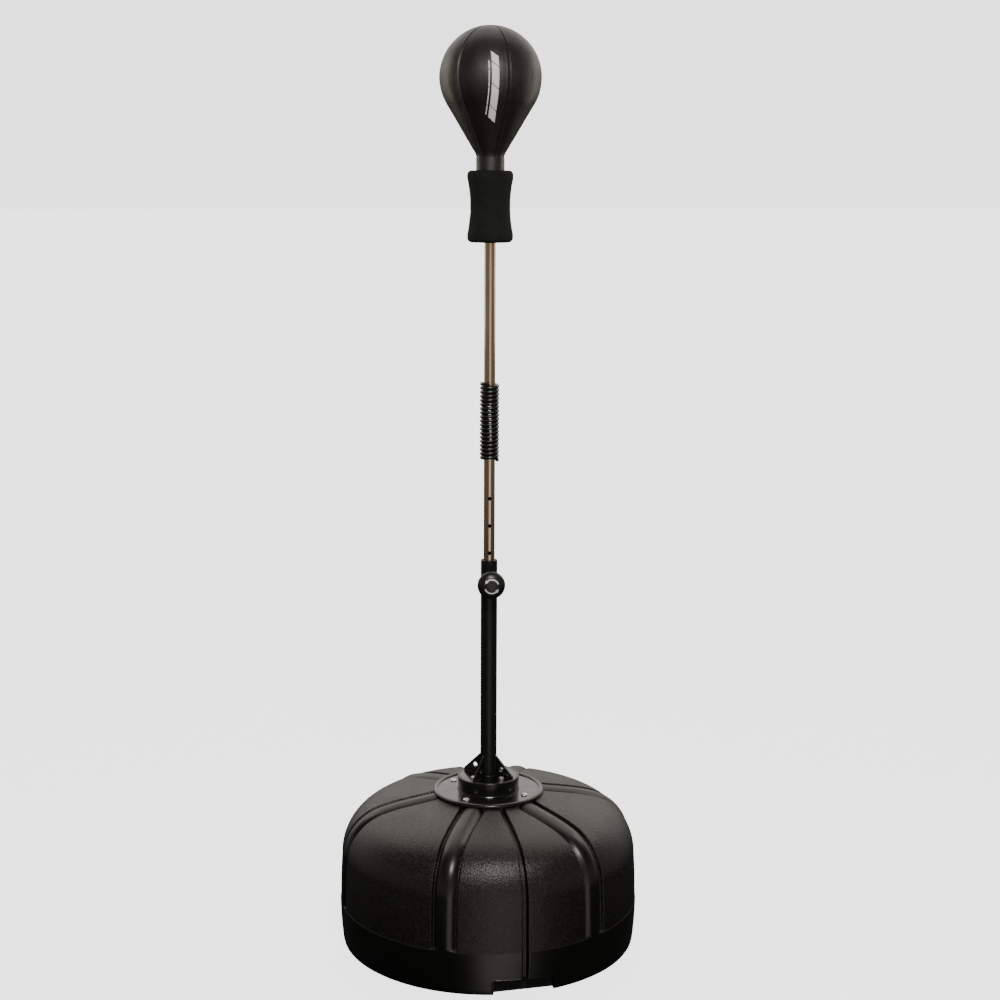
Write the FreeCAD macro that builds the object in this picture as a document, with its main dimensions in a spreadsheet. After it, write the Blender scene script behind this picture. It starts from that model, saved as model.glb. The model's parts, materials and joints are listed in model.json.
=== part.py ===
import FreeCAD, Part
import math
import os

import Sketcher

# Free-standing speed bag platform, in millimetres. +Z is up, the floor is z = 0, the pole stands on
# the Z axis and the front, with the lock knob, faces -Y.

SIZES = {
    # base tub
    "tub_radius": 275.0,
    "tub_foot_radius": 270.0,
    "tub_foot_height": 40.0,
    "tub_widest_height": 83.0,
    "tub_shoulder_radius": 272.0,
    "tub_shoulder_height": 165.0,
    "shoulder_arc": 96.5,
    "crown_start_radius": 205.0,
    "crown_start_height": 257.5,
    "crown_arc": 330.0,
    "tub_top": 279.0,
    "tub_wall": 4.0,
    "seat_radius": 97.0,
    "seat_height": 279.5,
    "seat_thickness": 14.0,
    "seat_edge": 1.0,
    "seat_ledge": 7.0,
    "foot_bulge": 0.8,
    # hand recess at the front of the foot
    "recess_width": 109.0,
    "recess_height": 29.0,
    "recess_back": 251.0,
    "recess_wall": 5.0,
    "recess_block_angle": 28.0,
    # filler neck at the back of the dome
    "filler_offset": 126.0,
    "filler_well_radius": 20.5,
    "filler_well_floor": 262.0,
    "filler_boss_radius": 24.5,
    "filler_neck_radius": 12.5,
    "filler_bore_radius": 10.0,
    "filler_neck_top": 271.5,
    "filler_trim": 2.0,
    "cap_radius": 17.0,
    "cap_wall": 3.5,
    "cap_top": 275.5,
    "cap_lip": 265.0,
    "cap_edge": 1.5,
    "cap_gap": 0.4,
    "seal_height": 2.5,
    "seal_inset": 0.5,
    # mounting flange
    "flange_radius": 102.0,
    "flange_thickness": 3.0,
    "flange_rim_width": 11.0,
    "flange_rim_height": 6.0,
    "flange_rim_slope": 2.0,
    "flange_screw_circle": 76.5,
    "screw_radius": 2.9,
    "screw_head_radius": 6.0,
    "screw_head_height": 3.6,
    "insert_radius": 5.0,
    "insert_length": 12.0,
    "insert_hole_end": 0.2,
    "screw_end_gap": 1.0,
    "fastener_gap": 0.1,
    "press_gap": 0.05,
    "clearance_hole_radius": 3.4,
    # hub, foot plate and gussets
    "hub_radius": 56.3,
    "hub_wall": 3.0,
    "hub_flare": 1.5,
    "hub_flare_height": 2.5,
    "hub_edge": 1.0,
    "hub_top": 306.0,
    "hub_lip_top": 309.0,
    "plate_radius": 52.8,
    "plate_thickness": 3.0,
    "bolt_circle": 36.0,
    "bolt_head_radius": 5.1,
    "bolt_head_height": 3.5,
    "bolt_length": 15.0,
    "nut_height": 5.0,
    "nut_radius": 5.5,
    "gusset_thickness": 3.5,
    "gusset_reach": 52.0,
    "gusset_height": 41.0,
    "gusset_toe": 5.0,
    "gusset_hole_radius": 4.5,
    "gusset_hole_offset": 28.0,
    "gusset_hole_height": 14.5,
    # post and its bush
    "post_radius": 15.0,
    "post_wall": 1.5,
    "post_top": 715.0,
    "bush_bottom": 660.0,
    "bush_top": 714.5,
    "slide_gap": 0.06,
    "glide_gap": 0.1,
    # lock: heights along the lock's own axis are measured outwards from the pole's axis
    "lock_height": 679.0,
    "boss_radius": 9.5,
    "boss_front": 26.0,
    "barrel_radius": 6.0,
    "barrel_back": 17.0,
    "barrel_head_radius": 8.5,
    "barrel_front": 33.0,
    "barrel_end_wall": 1.5,
    "barrel_chamber_radius": 5.0,
    "barrel_hole_gap": 0.2,
    "pin_radius": 3.2,
    "pin_nose": 10.4,
    "pin_nose_taper": 0.6,
    "pin_nose_length": 0.8,
    "pin_collar_radius": 4.7,
    "pin_collar_back": 17.4,
    "pin_collar_front": 18.9,
    "pin_tail": 50.0,
    "pin_hole_radius": 3.6,
    "lock_spring_mean": 4.15,
    "lock_spring_wire": 0.35,
    "lock_spring_pitch": 1.7,
    "lock_spring_gap": 0.1,
    "knob_radius": 25.0,
    "knob_back": 34.0,
    "knob_widest": 50.0,
    "knob_rim": 1.5,
    "knob_front": 63.0,
    "knob_stem_radius": 9.5,
    "knob_stem_end": 39.0,
    "knob_back_arc": 20.0,
    "knob_insert_radius": 5.5,
    "knob_insert_end": 52.0,
    "knob_insert_inset": 0.5,
    # adjust tube
    "tube_radius": 10.0,
    "tube_wall": 1.5,
    "adjust_bottom": 536.0,
    "adjust_top": 927.0,
    "height_hole_radius": 3.5,
    "height_hole_lowest": 579.0,
    "height_hole_pitch": 50.0,
    "height_hole_count": 6,
    "glide_bottom": 530.0,
    "glide_top": 553.0,
    "spring_plug_length": 26.0,
    "spring_plug_nose": 4.0,
    "spring_plug_nose_radius": 7.0,
    # coil spring
    "coil_bottom": 895.0,
    "coil_top": 1040.0,
    "coil_wire_radius": 3.4,
    "coil_outer_radius": 17.4,
    "coil_pitch": 7.36,
    # upper tube and foam pad
    "upper_bottom": 1002.0,
    "upper_top": 1400.0,
    "foam_bottom": 1284.0,
    "foam_top": 1408.0,
    "foam_radius": 40.2,
    "foam_round": 7.5,
    "foam_waist_start": 14.0,
    "foam_waist_arc": 224.0,
    "foam_gap": 0.2,
    # bag
    "bag_radius": 88.1,
    "bag_middle": 1565.5,
    "bag_cone_radius": 76.7,
    "bag_cone_height": 1522.3,
    "bag_throat_radius": 32.0,
    "bag_throat_height": 1446.0,
    "bag_throat_arc": 34.0,
    "bag_neck_radius": 24.2,
    "bag_neck_height": 1428.0,
    "bag_bottom": 1408.5,
    "bag_wall": 2.5,
    "neck_plug_radius": 21.4,
    "neck_plug_top": 1427.0,
    "bladder_wall": 1.5,
    "bladder_gap": 0.4,
    "bladder_throat_radius": 28.0,
    "bladder_throat_rise": 5.0,
    "bladder_bottom": 1446.0,
    "bladder_neck_radius": 20.0,
    "valve_radius": 4.0,
    "valve_flange_radius": 7.0,
    "valve_flange_height": 6.0,
    "valve_height": 8.0,
    "stud_radius": 4.9,
    "stud_bottom": 1378.0,
    "stud_top": 1422.0,
    "stud_nut_radius": 9.5,
    "stud_nut_height": 5.0,
    "stud_nut_gap": 0.2,
    "top_plug_length": 34.0,
}

GUSSET_ANGLES = (-135.0, -45.0, 45.0, 135.0)
FLANGE_SCREW_ANGLES = (-135.0, -45.0, 45.0, 135.0)
FOOT_BOLT_ANGLES = (27.5, 117.5, 207.5, 297.5)
COIL_END_ANGLE = -104.0
LOCK_ANGLE = -9.0  # how far the lock and its holes are turned round the pole from the front
# how a wall's thickness splits into a sideways and an upward step, square to a sloping wall
CROWN_STEP = (0.3, 0.95)
CONE_STEP = (0.87, 0.49)
SCREW_HEAD_SHOULDER = (0.4, 0.6)
TINY = 1e-9


class Dim:
    """A length known as a number and as the text of the sheet expression that gives it."""

    def __init__(self, value, text):
        self.value = value
        self.text = text

    def _with(self, sign, other):
        if not isinstance(other, Dim):
            other = Dim(float(other), repr(float(other)))
        results = {
            "+": self.value + other.value,
            "-": self.value - other.value,
            "*": self.value * other.value,
            "/": self.value / other.value if other.value else 0.0,
        }
        return Dim(results[sign], "(%s %s %s)" % (self.text, sign, other.text))

    def __add__(self, other):
        return self._with("+", other)

    def __sub__(self, other):
        return self._with("-", other)

    def __mul__(self, other):
        return self._with("*", other)

    def __truediv__(self, other):
        return self._with("/", other)

    def __neg__(self):
        return Dim(-self.value, "(0 - %s)" % self.text)


def make_sheet(doc):
    """Writes every driving size into a spreadsheet and returns the sizes by name."""
    sheet = doc.addObject("Spreadsheet::Sheet", "Sizes")
    for row, (name, value) in enumerate(SIZES.items(), start=1):
        sheet.set("A%d" % row, name)
        sheet.set("B%d" % row, str(value))
        sheet.setAlias("B%d" % row, name)
    doc.recompute()
    return {name: Dim(float(value), "Sizes." + name) for name, value in SIZES.items()}


DOC = FreeCAD.newDocument("speed_bag_platform")
S = make_sheet(DOC)
ZERO = Dim(0.0, "0.0")
NODES = []


def node(obj, label):
    """Gives an object the name that its file takes and lists it for writing."""
    obj.Label = label
    NODES.append(obj)
    return obj


def place(obj, x=0.0, y=0.0, z=ZERO, axis=(0, 0, 1), angle=0.0):
    """Places an object. Its height follows the sheet."""
    turn = FreeCAD.Rotation(FreeCAD.Vector(*axis), angle)
    obj.Placement = FreeCAD.Placement(FreeCAD.Vector(x, y, z.value), turn)
    obj.setExpression("Placement.Base.z", z.text)


def place_on_circle(obj, radius, angle, z=ZERO):
    """Places an object on a circle round the pole, angle counted from +X, and turns it outwards."""
    place(obj, z=z, angle=angle)
    obj.setExpression("Placement.Base.x", "%s * cos(%f deg)" % (radius.text, angle))
    obj.setExpression("Placement.Base.y", "%s * sin(%f deg)" % (radius.text, angle))


def place_on_lock_axis(obj):
    """Turns an object's own Z axis to the front and then round the pole, at the lock's height."""
    place(obj, z=S["lock_height"], axis=(1, 0, 0), angle=90.0)
    round_pole = FreeCAD.Rotation(FreeCAD.Vector(0, 0, 1), LOCK_ANGLE)
    obj.Placement = FreeCAD.Placement(obj.Placement.Base, round_pole * obj.Placement.Rotation)


def new_body(label):
    return DOC.addObject("PartDesign::Body", label)


def origin_plane(body, role):
    return next(f for f in body.Origin.OriginFeatures if f.Role == role)


def new_sketch(body, name, role="XZ_Plane", height=None):
    """A sketch on one of the body's own planes, raised by height where given."""
    sketch = body.newObject("Sketcher::SketchObject", name)
    sketch.AttachmentSupport = [(origin_plane(body, role), "")]
    sketch.MapMode = "FlatFace"
    if height is not None:
        sketch.AttachmentOffset = FreeCAD.Placement(FreeCAD.Vector(0, 0, height.value), FreeCAD.Rotation())
        sketch.setExpression("AttachmentOffset.Base.z", height.text)
    return sketch


def bind(sketch, kind, first, second, dim):
    """Adds a distance constraint that follows the sheet, or pins the point to the axis at zero."""
    if abs(dim.value) < TINY:
        axis = -2 if kind == "DistanceX" else -1
        sketch.addConstraint(Sketcher.Constraint("PointOnObject", second[0], second[1], axis))
        return
    if dim.value < 0:
        first, second, dim = second, first, -dim
    index = sketch.addConstraint(Sketcher.Constraint(kind, *first, *second, dim.value))
    sketch.setExpression("Constraints[%d]" % index, dim.text)


def arc_between(start, end, radius, side):
    """An arc from start to end. side is 1 where its centre lies left of the way, -1 where right.

    With no radius the arc's centre lies on the sketch's vertical axis, so that it turns into a sphere.
    """
    if radius is None:
        height = (start.x ** 2 + start.y ** 2 - end.x ** 2 - end.y ** 2) / (2.0 * (start.y - end.y))
        centre = FreeCAD.Vector(0, height, 0)
        radius = (start - centre).Length
    else:
        chord = end - start
        half = chord.Length / 2.0
        across = math.sqrt(max(radius * radius - half * half, 0.0))
        left = FreeCAD.Vector(-chord.y, chord.x, 0).normalize()
        centre = (start + end) * 0.5 + left * (across * side)
    first, last = (start, end) if side > 0 else (end, start)
    a0 = math.atan2(first.y - centre.y, first.x - centre.x)
    a1 = math.atan2(last.y - centre.y, last.x - centre.x)
    if a1 < a0:
        a1 += 2 * math.pi
    return Part.ArcOfCircle(Part.Circle(centre, FreeCAD.Vector(0, 0, 1), radius), a0, a1)


def draw_outline(sketch, corners):
    """Draws a closed outline. A corner is (x, y), or (x, y, radius, side) where an arc follows it."""
    origin = (-1, 1)
    ends = []
    for number, corner in enumerate(corners):
        after = corners[(number + 1) % len(corners)]
        start = FreeCAD.Vector(corner[0].value, corner[1].value, 0)
        end = FreeCAD.Vector(after[0].value, after[1].value, 0)
        if len(corner) == 4:
            radius = corner[2].value if corner[2] else None
            geo = sketch.addGeometry(arc_between(start, end, radius, corner[3]), False)
            ends.append((geo, 1, 2) if corner[3] > 0 else (geo, 2, 1))
        else:
            geo = sketch.addGeometry(Part.LineSegment(start, end), False)
            ends.append((geo, 1, 2))
    for number, corner in enumerate(corners):
        geo, head, tail = ends[number]
        after = ends[(number + 1) % len(ends)]
        sketch.addConstraint(Sketcher.Constraint("Coincident", geo, tail, after[0], after[1]))
        bind(sketch, "DistanceX", origin, (geo, head), corner[0])
        bind(sketch, "DistanceY", origin, (geo, head), corner[1])
    for number, corner in enumerate(corners):
        if len(corner) == 4 and corner[2] is None:
            sketch.addConstraint(Sketcher.Constraint("PointOnObject", ends[number][0], 3, -2))
        elif len(corner) == 4:
            geo = ends[number][0]
            index = sketch.addConstraint(Sketcher.Constraint("Radius", geo, corner[2].value))
            sketch.setExpression("Constraints[%d]" % index, corner[2].text)


def draw_circle(sketch, radius, x=ZERO, y=ZERO):
    centre = FreeCAD.Vector(x.value, y.value, 0)
    geo = sketch.addGeometry(Part.Circle(centre, FreeCAD.Vector(0, 0, 1), radius.value), False)
    bind(sketch, "DistanceX", (-1, 1), (geo, 3), x)
    bind(sketch, "DistanceY", (-1, 1), (geo, 3), y)
    index = sketch.addConstraint(Sketcher.Constraint("Radius", geo, radius.value))
    sketch.setExpression("Constraints[%d]" % index, radius.text)


def revolve(body, name, corners, angle=None, role="XZ_Plane"):
    """Turns an outline of radii and heights about the body's Z axis."""
    sketch = new_sketch(body, name + "_outline", role)
    draw_outline(sketch, corners)
    turn = body.newObject("PartDesign::Revolution", name)
    turn.Profile = sketch
    turn.ReferenceAxis = (sketch, ["V_Axis"])
    if angle is not None:
        turn.Midplane = True
        turn.setExpression("Angle", angle.text)
    return turn


def turned(label, corners):
    """A sub-part that is one solid of revolution about its own Z axis."""
    body = new_body(label)
    revolve(body, label + "_turn", corners)
    return body


def ring(label, inner, outer, bottom, top):
    """A plain ring or tube."""
    return turned(label, [(inner, bottom), (outer, bottom), (outer, top), (inner, top)])


def cut_hole(body, name, radius, x=ZERO, y=ZERO, role="XY_Plane", height=None, reverse=False):
    """Cuts a round hole from a plane right through the body on one side of it."""
    sketch = new_sketch(body, name + "_circle", role, height)
    draw_circle(sketch, radius, x, y)
    pocket = body.newObject("PartDesign::Pocket", name)
    pocket.Profile = sketch
    pocket.Type = "ThroughAll"
    pocket.Reversed = reverse
    return pocket


def polar(body, name, feature, count):
    """Repeats a feature round the body's Z axis."""
    pattern = body.newObject("PartDesign::PolarPattern", name)
    pattern.Originals = [feature]
    pattern.Axis = (origin_plane(body, "Z_Axis"), [""])
    pattern.Angle = 360.0
    pattern.Occurrences = count
    body.Tip = pattern
    return pattern


def cut_ring_of_holes(body, name, radius, circle, angles, height=None):
    """Cuts one hole upwards at the first angle and repeats it evenly round the Z axis."""
    first = math.radians(angles[0])
    hole = cut_hole(body, name + "_first", radius, x=circle * math.cos(first), y=circle * math.sin(first),
                    height=height, reverse=True)
    return polar(body, name, hole, len(angles))


def group(label, members):
    """One node of separate, equal solids."""
    compound = DOC.addObject("Part::Compound", label)
    compound.Links = members
    return node(compound, label)


def cylinder(name, radius, height):
    solid = DOC.addObject("Part::Cylinder", name)
    solid.setExpression("Radius", radius.text)
    solid.setExpression("Height", height.text)
    return solid


def cut(label, base, tool):
    result = DOC.addObject("Part::Cut", label)
    result.Base = base
    result.Tool = tool
    return result


# ---- base tub ------------------------------------------------------------------------------------

def tub_shell_corners():
    """The wall's outline: up the outside from the floor, over the dome, and back down the inside."""
    wall = S["tub_wall"]
    inner_shoulder = S["shoulder_arc"] - wall
    under_seat = S["seat_height"] - S["seat_thickness"]
    return [
        (ZERO, ZERO),
        (S["tub_foot_radius"], ZERO),
        (S["tub_radius"] - S["foot_bulge"], S["tub_foot_height"]),
        (S["tub_radius"], S["tub_widest_height"]),
        (S["tub_shoulder_radius"], S["tub_shoulder_height"], S["shoulder_arc"], 1),
        (S["crown_start_radius"], S["crown_start_height"], S["crown_arc"], 1),
        (S["seat_radius"] + S["seat_edge"], S["tub_top"]),
        (S["seat_radius"], S["seat_height"]),
        (ZERO, S["seat_height"]),
        (ZERO, under_seat),
        (S["seat_radius"] - S["seat_ledge"], under_seat),
        (S["seat_radius"], S["tub_top"] - wall - S["seat_edge"], S["crown_arc"] - wall, -1),
        (S["crown_start_radius"] - wall * CROWN_STEP[0],
         S["crown_start_height"] - wall * CROWN_STEP[1], inner_shoulder, -1),
        (S["tub_shoulder_radius"] - wall, S["tub_shoulder_height"]),
        (S["tub_radius"] - wall, S["tub_widest_height"]),
        (S["tub_foot_radius"] - wall, wall),
        (ZERO, wall),
    ]


def make_base_tub():
    body = new_body("base_tub")
    revolve(body, "shell", tub_shell_corners())

    outside = -(S["tub_foot_radius"] - S["tub_wall"] / 4.0)
    inside = -(S["recess_back"] - S["recess_wall"])
    block_top = S["recess_height"] + S["recess_wall"]
    revolve(body, "recess_block", [
        (outside, S["tub_wall"] / 2.0),
        (inside, S["tub_wall"] / 2.0),
        (inside, block_top),
        (outside, block_top),
    ], angle=S["recess_block_angle"], role="YZ_Plane")

    boss = new_sketch(body, "boss_circle", height=S["filler_well_floor"] - S["tub_wall"], role="XY_Plane")
    draw_circle(boss, S["filler_boss_radius"], y=S["filler_offset"])
    pad = body.newObject("PartDesign::Pad", "filler_boss")
    pad.Profile = boss
    pad.setExpression("Length", (S["filler_neck_top"] - S["filler_well_floor"] + S["tub_wall"]).text)

    recess = new_sketch(body, "recess_outline", role="XY_Plane")
    half = S["recess_width"] / 2.0
    clear = -(S["tub_radius"] + S["recess_height"])
    draw_outline(recess, [
        (-half, clear),
        (half, clear),
        (half, -S["recess_back"]),
        (-half, -S["recess_back"]),
    ])
    pocket = body.newObject("PartDesign::Pocket", "hand_recess")
    pocket.Profile = recess
    pocket.Reversed = True
    pocket.setExpression("Length", S["recess_height"].text)

    well = new_sketch(body, "well_circles", height=S["filler_well_floor"], role="XY_Plane")
    draw_circle(well, S["filler_well_radius"], y=S["filler_offset"])
    draw_circle(well, S["filler_neck_radius"], y=S["filler_offset"])
    pocket = body.newObject("PartDesign::Pocket", "filler_well")
    pocket.Profile = well
    pocket.Reversed = True
    pocket.Type = "ThroughAll"

    bore_start = S["filler_well_floor"] - S["tub_wall"] * 3.0
    cut_hole(body, "filler_bore", S["filler_bore_radius"], y=S["filler_offset"], height=bore_start,
             reverse=True)

    trim = new_sketch(body, "neck_trim_circle", height=S["filler_neck_top"], role="XY_Plane")
    draw_circle(trim, S["filler_neck_radius"] + S["filler_trim"], y=S["filler_offset"])
    pocket = body.newObject("PartDesign::Pocket", "neck_trim")
    pocket.Profile = trim
    pocket.Reversed = True
    pocket.Type = "ThroughAll"

    insert_floor = S["seat_height"] - S["insert_length"] - S["insert_hole_end"]
    cut_ring_of_holes(body, "insert_holes", S["insert_radius"] + S["fastener_gap"],
                      S["flange_screw_circle"], FLANGE_SCREW_ANGLES, insert_floor)
    return node(body, "base_tub")


def make_tub_inserts():
    members = []
    for number, angle in enumerate(FLANGE_SCREW_ANGLES, start=1):
        insert = ring("insert_%d" % number, S["screw_radius"] + S["fastener_gap"], S["insert_radius"],
                      ZERO, S["insert_length"])
        place_on_circle(insert, S["flange_screw_circle"], angle, S["seat_height"] - S["insert_length"])
        members.append(insert)
    return group("tub_inserts", members)


def make_filler_cap():
    inner = S["filler_neck_radius"] + S["cap_gap"]
    body = turned("filler_cap", [
        (ZERO, S["cap_top"] - S["cap_wall"]),
        (inner, S["cap_top"] - S["cap_wall"]),
        (inner, S["cap_lip"]),
        (S["cap_radius"], S["cap_lip"]),
        (S["cap_radius"], S["cap_top"] - S["cap_edge"]),
        (S["cap_radius"] - S["cap_edge"], S["cap_top"]),
        (ZERO, S["cap_top"]),
    ])
    body.setExpression("Placement.Base.y", S["filler_offset"].text)
    return node(body, "filler_cap")


def make_cap_seal():
    body = ring("cap_seal", S["filler_neck_radius"] + S["cap_gap"], S["cap_radius"] - S["seal_inset"],
                S["cap_lip"] - S["seal_height"], S["cap_lip"])
    body.setExpression("Placement.Base.y", S["filler_offset"].text)
    return node(body, "cap_seal")


# ---- flange, hub and foot ------------------------------------------------------------------------

def make_mounting_flange():
    bottom = S["seat_height"]
    top = bottom + S["flange_thickness"]
    rim_top = bottom + S["flange_rim_height"]
    rim_in = S["flange_radius"] - S["flange_rim_width"]
    slope = S["flange_rim_slope"]
    body = new_body("mounting_flange")
    revolve(body, "plate", [
        (ZERO, bottom),
        (S["flange_radius"], bottom),
        (S["flange_radius"], rim_top - slope),
        (S["flange_radius"] - slope, rim_top),
        (rim_in + slope, rim_top),
        (rim_in, top),
        (ZERO, top),
    ])
    cut_ring_of_holes(body, "screw_holes", S["clearance_hole_radius"], S["flange_screw_circle"],
                      FLANGE_SCREW_ANGLES)
    return node(body, "mounting_flange")


def make_screw(label, length, head_radius, head_height):
    """A pan head screw that stands on its head's underside at z = 0, shank downwards."""
    up, across = SCREW_HEAD_SHOULDER
    return turned(label, [
        (ZERO, -length),
        (S["screw_radius"], -length),
        (S["screw_radius"], ZERO),
        (head_radius, ZERO),
        (head_radius, head_height * up),
        (head_radius * across, head_height),
        (ZERO, head_height),
    ])


def make_flange_screws():
    members = []
    for number, angle in enumerate(FLANGE_SCREW_ANGLES, start=1):
        length = S["insert_length"] + S["flange_thickness"] - S["screw_end_gap"]
        screw = make_screw("flange_screw_%d" % number, length, S["screw_head_radius"],
                           S["screw_head_height"])
        place_on_circle(screw, S["flange_screw_circle"], angle, S["seat_height"] + S["flange_thickness"])
        members.append(screw)
    return group("flange_screws", members)


def make_hub_cup():
    bottom = S["seat_height"] + S["flange_thickness"]
    inner = S["hub_radius"] - S["hub_wall"]
    body = new_body("hub_cup")
    revolve(body, "drum", [
        (inner, bottom),
        (S["hub_radius"] + S["hub_flare"], bottom),
        (S["hub_radius"], bottom + S["hub_flare_height"]),
        (S["hub_radius"], S["hub_lip_top"] - S["hub_edge"]),
        (S["hub_radius"] - S["hub_edge"], S["hub_lip_top"]),
        (inner, S["hub_lip_top"]),
        (inner, S["hub_top"]),
        (ZERO, S["hub_top"]),
        (ZERO, S["hub_top"] - S["hub_wall"]),
        (inner, S["hub_top"] - S["hub_wall"]),
    ])
    cut_ring_of_holes(body, "bolt_holes", S["clearance_hole_radius"], S["bolt_circle"], FOOT_BOLT_ANGLES)
    return node(body, "hub_cup")


def make_foot_plate():
    body = new_body("foot_plate")
    revolve(body, "disc", [
        (ZERO, S["hub_top"]),
        (S["plate_radius"], S["hub_top"]),
        (S["plate_radius"], S["hub_top"] + S["plate_thickness"]),
        (ZERO, S["hub_top"] + S["plate_thickness"]),
    ])
    cut_ring_of_holes(body, "plate_holes", S["clearance_hole_radius"], S["bolt_circle"], FOOT_BOLT_ANGLES)
    return node(body, "foot_plate")


def make_foot_bolts():
    members = []
    for number, angle in enumerate(FOOT_BOLT_ANGLES, start=1):
        bolt = make_screw("foot_bolt_%d" % number, S["bolt_length"], S["bolt_head_radius"],
                          S["bolt_head_height"])
        place_on_circle(bolt, S["bolt_circle"], angle, S["hub_top"] + S["plate_thickness"])
        members.append(bolt)
    return group("foot_bolts", members)


def make_foot_nuts():
    members = []
    for number, angle in enumerate(FOOT_BOLT_ANGLES, start=1):
        body = new_body("foot_nut_%d" % number)
        sketch = new_sketch(body, "nut_outline_%d" % number, "XY_Plane")
        flats = [math.radians(360.0 / 6 * side) for side in range(6)]
        draw_outline(sketch, [(S["nut_radius"] * math.cos(a), S["nut_radius"] * math.sin(a)) for a in flats])
        draw_circle(sketch, S["screw_radius"] + S["fastener_gap"])
        pad = body.newObject("PartDesign::Pad", "nut_pad_%d" % number)
        pad.Profile = sketch
        pad.setExpression("Length", S["nut_height"].text)
        place_on_circle(body, S["bolt_circle"], angle, S["hub_top"] - S["hub_wall"] - S["nut_height"])
        members.append(body)
    return group("foot_nuts", members)


def make_gusset(number, angle):
    label = "gusset_%d" % number
    body = new_body(label)
    sketch = new_sketch(body, label + "_outline")
    draw_outline(sketch, [
        (S["post_radius"], ZERO),
        (S["gusset_reach"], ZERO),
        (S["gusset_reach"], S["gusset_toe"]),
        (S["post_radius"], S["gusset_height"]),
    ])
    draw_circle(sketch, S["gusset_hole_radius"], S["gusset_hole_offset"], S["gusset_hole_height"])
    pad = body.newObject("PartDesign::Pad", label + "_pad")
    pad.Profile = sketch
    pad.Midplane = True
    pad.setExpression("Length", S["gusset_thickness"].text)
    place(body, z=S["hub_top"] + S["plate_thickness"], angle=angle)
    return node(body, label)


def make_post_tube():
    body = new_body("post_tube")
    inner = S["post_radius"] - S["post_wall"]
    bottom = S["hub_top"] + S["plate_thickness"]
    revolve(body, "post_wall", [
        (inner, bottom),
        (S["post_radius"], bottom),
        (S["post_radius"], S["post_top"]),
        (inner, S["post_top"]),
    ])
    cut_hole(body, "post_pin_hole", S["barrel_radius"] + S["barrel_hole_gap"], y=S["lock_height"],
             role="XZ_Plane", reverse=True)
    place(body, angle=LOCK_ANGLE)
    return node(body, "post_tube")


def make_guide_bush():
    body = new_body("guide_bush")
    outer = S["post_radius"] - S["post_wall"] - S["press_gap"]
    inner = S["tube_radius"] + S["slide_gap"]
    revolve(body, "bush_wall", [
        (inner, S["bush_bottom"]),
        (outer, S["bush_bottom"]),
        (outer, S["bush_top"]),
        (inner, S["bush_top"]),
    ])
    cut_hole(body, "bush_pin_hole", S["pin_hole_radius"], y=S["lock_height"], role="XZ_Plane",
             reverse=True)
    place(body, angle=LOCK_ANGLE)
    return node(body, "guide_bush")


# ---- lock ----------------------------------------------------------------------------------------

def make_lock_boss():
    """A round boss whose back fits the post and whose bore takes the barrel."""
    blank = cylinder("boss_blank", S["boss_radius"], S["boss_front"])
    place_on_lock_axis(blank)
    post = cylinder("boss_saddle", S["post_radius"] + S["press_gap"], S["boss_radius"] * 4.0)
    place(post, z=S["lock_height"] - S["boss_radius"] * 2.0)
    bore = cylinder("boss_bore", S["barrel_radius"] + S["press_gap"], S["boss_front"] * 2.0)
    place_on_lock_axis(bore)
    return node(cut("lock_boss", cut("boss_on_post", blank, post), bore), "lock_boss")


def make_lock_barrel():
    pin = S["pin_radius"] + S["slide_gap"]
    body = turned("lock_barrel", [
        (S["barrel_chamber_radius"], S["barrel_back"]),
        (S["barrel_radius"], S["barrel_back"]),
        (S["barrel_radius"], S["boss_front"]),
        (S["barrel_head_radius"], S["boss_front"]),
        (S["barrel_head_radius"], S["barrel_front"]),
        (pin, S["barrel_front"]),
        (pin, S["barrel_front"] - S["barrel_end_wall"]),
        (S["barrel_chamber_radius"], S["barrel_front"] - S["barrel_end_wall"]),
    ])
    place_on_lock_axis(body)
    return node(body, "lock_barrel")


def make_lock_pin():
    body = turned("lock_pin", [
        (ZERO, S["pin_nose"]),
        (S["pin_radius"] - S["pin_nose_taper"], S["pin_nose"]),
        (S["pin_radius"], S["pin_nose"] + S["pin_nose_length"]),
        (S["pin_radius"], S["pin_collar_back"]),
        (S["pin_collar_radius"], S["pin_collar_back"]),
        (S["pin_collar_radius"], S["pin_collar_front"]),
        (S["pin_radius"], S["pin_collar_front"]),
        (S["pin_radius"], S["pin_tail"]),
        (ZERO, S["pin_tail"]),
    ])
    place_on_lock_axis(body)
    return node(body, "lock_pin")


def make_lock_knob():
    """A mushroom knob: a stem, a rounded back, and a domed face. Its blind bore takes the insert."""
    bore = S["knob_insert_radius"] + S["press_gap"]
    body = turned("lock_knob", [
        (bore, S["knob_back"]),
        (S["knob_stem_radius"], S["knob_back"]),
        (S["knob_stem_radius"], S["knob_stem_end"], S["knob_back_arc"], 1),
        (S["knob_radius"], S["knob_widest"]),
        (S["knob_radius"], S["knob_widest"] + S["knob_rim"], None, 1),
        (ZERO, S["knob_front"]),
        (ZERO, S["knob_insert_end"]),
        (bore, S["knob_insert_end"]),
    ])
    place_on_lock_axis(body)
    return node(body, "lock_knob")


def make_knob_insert():
    body = ring("knob_insert", S["pin_radius"] + S["slide_gap"], S["knob_insert_radius"],
                S["knob_back"] + S["knob_insert_inset"], S["knob_insert_end"] - S["knob_insert_inset"])
    place_on_lock_axis(body)
    return node(body, "knob_insert")


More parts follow.
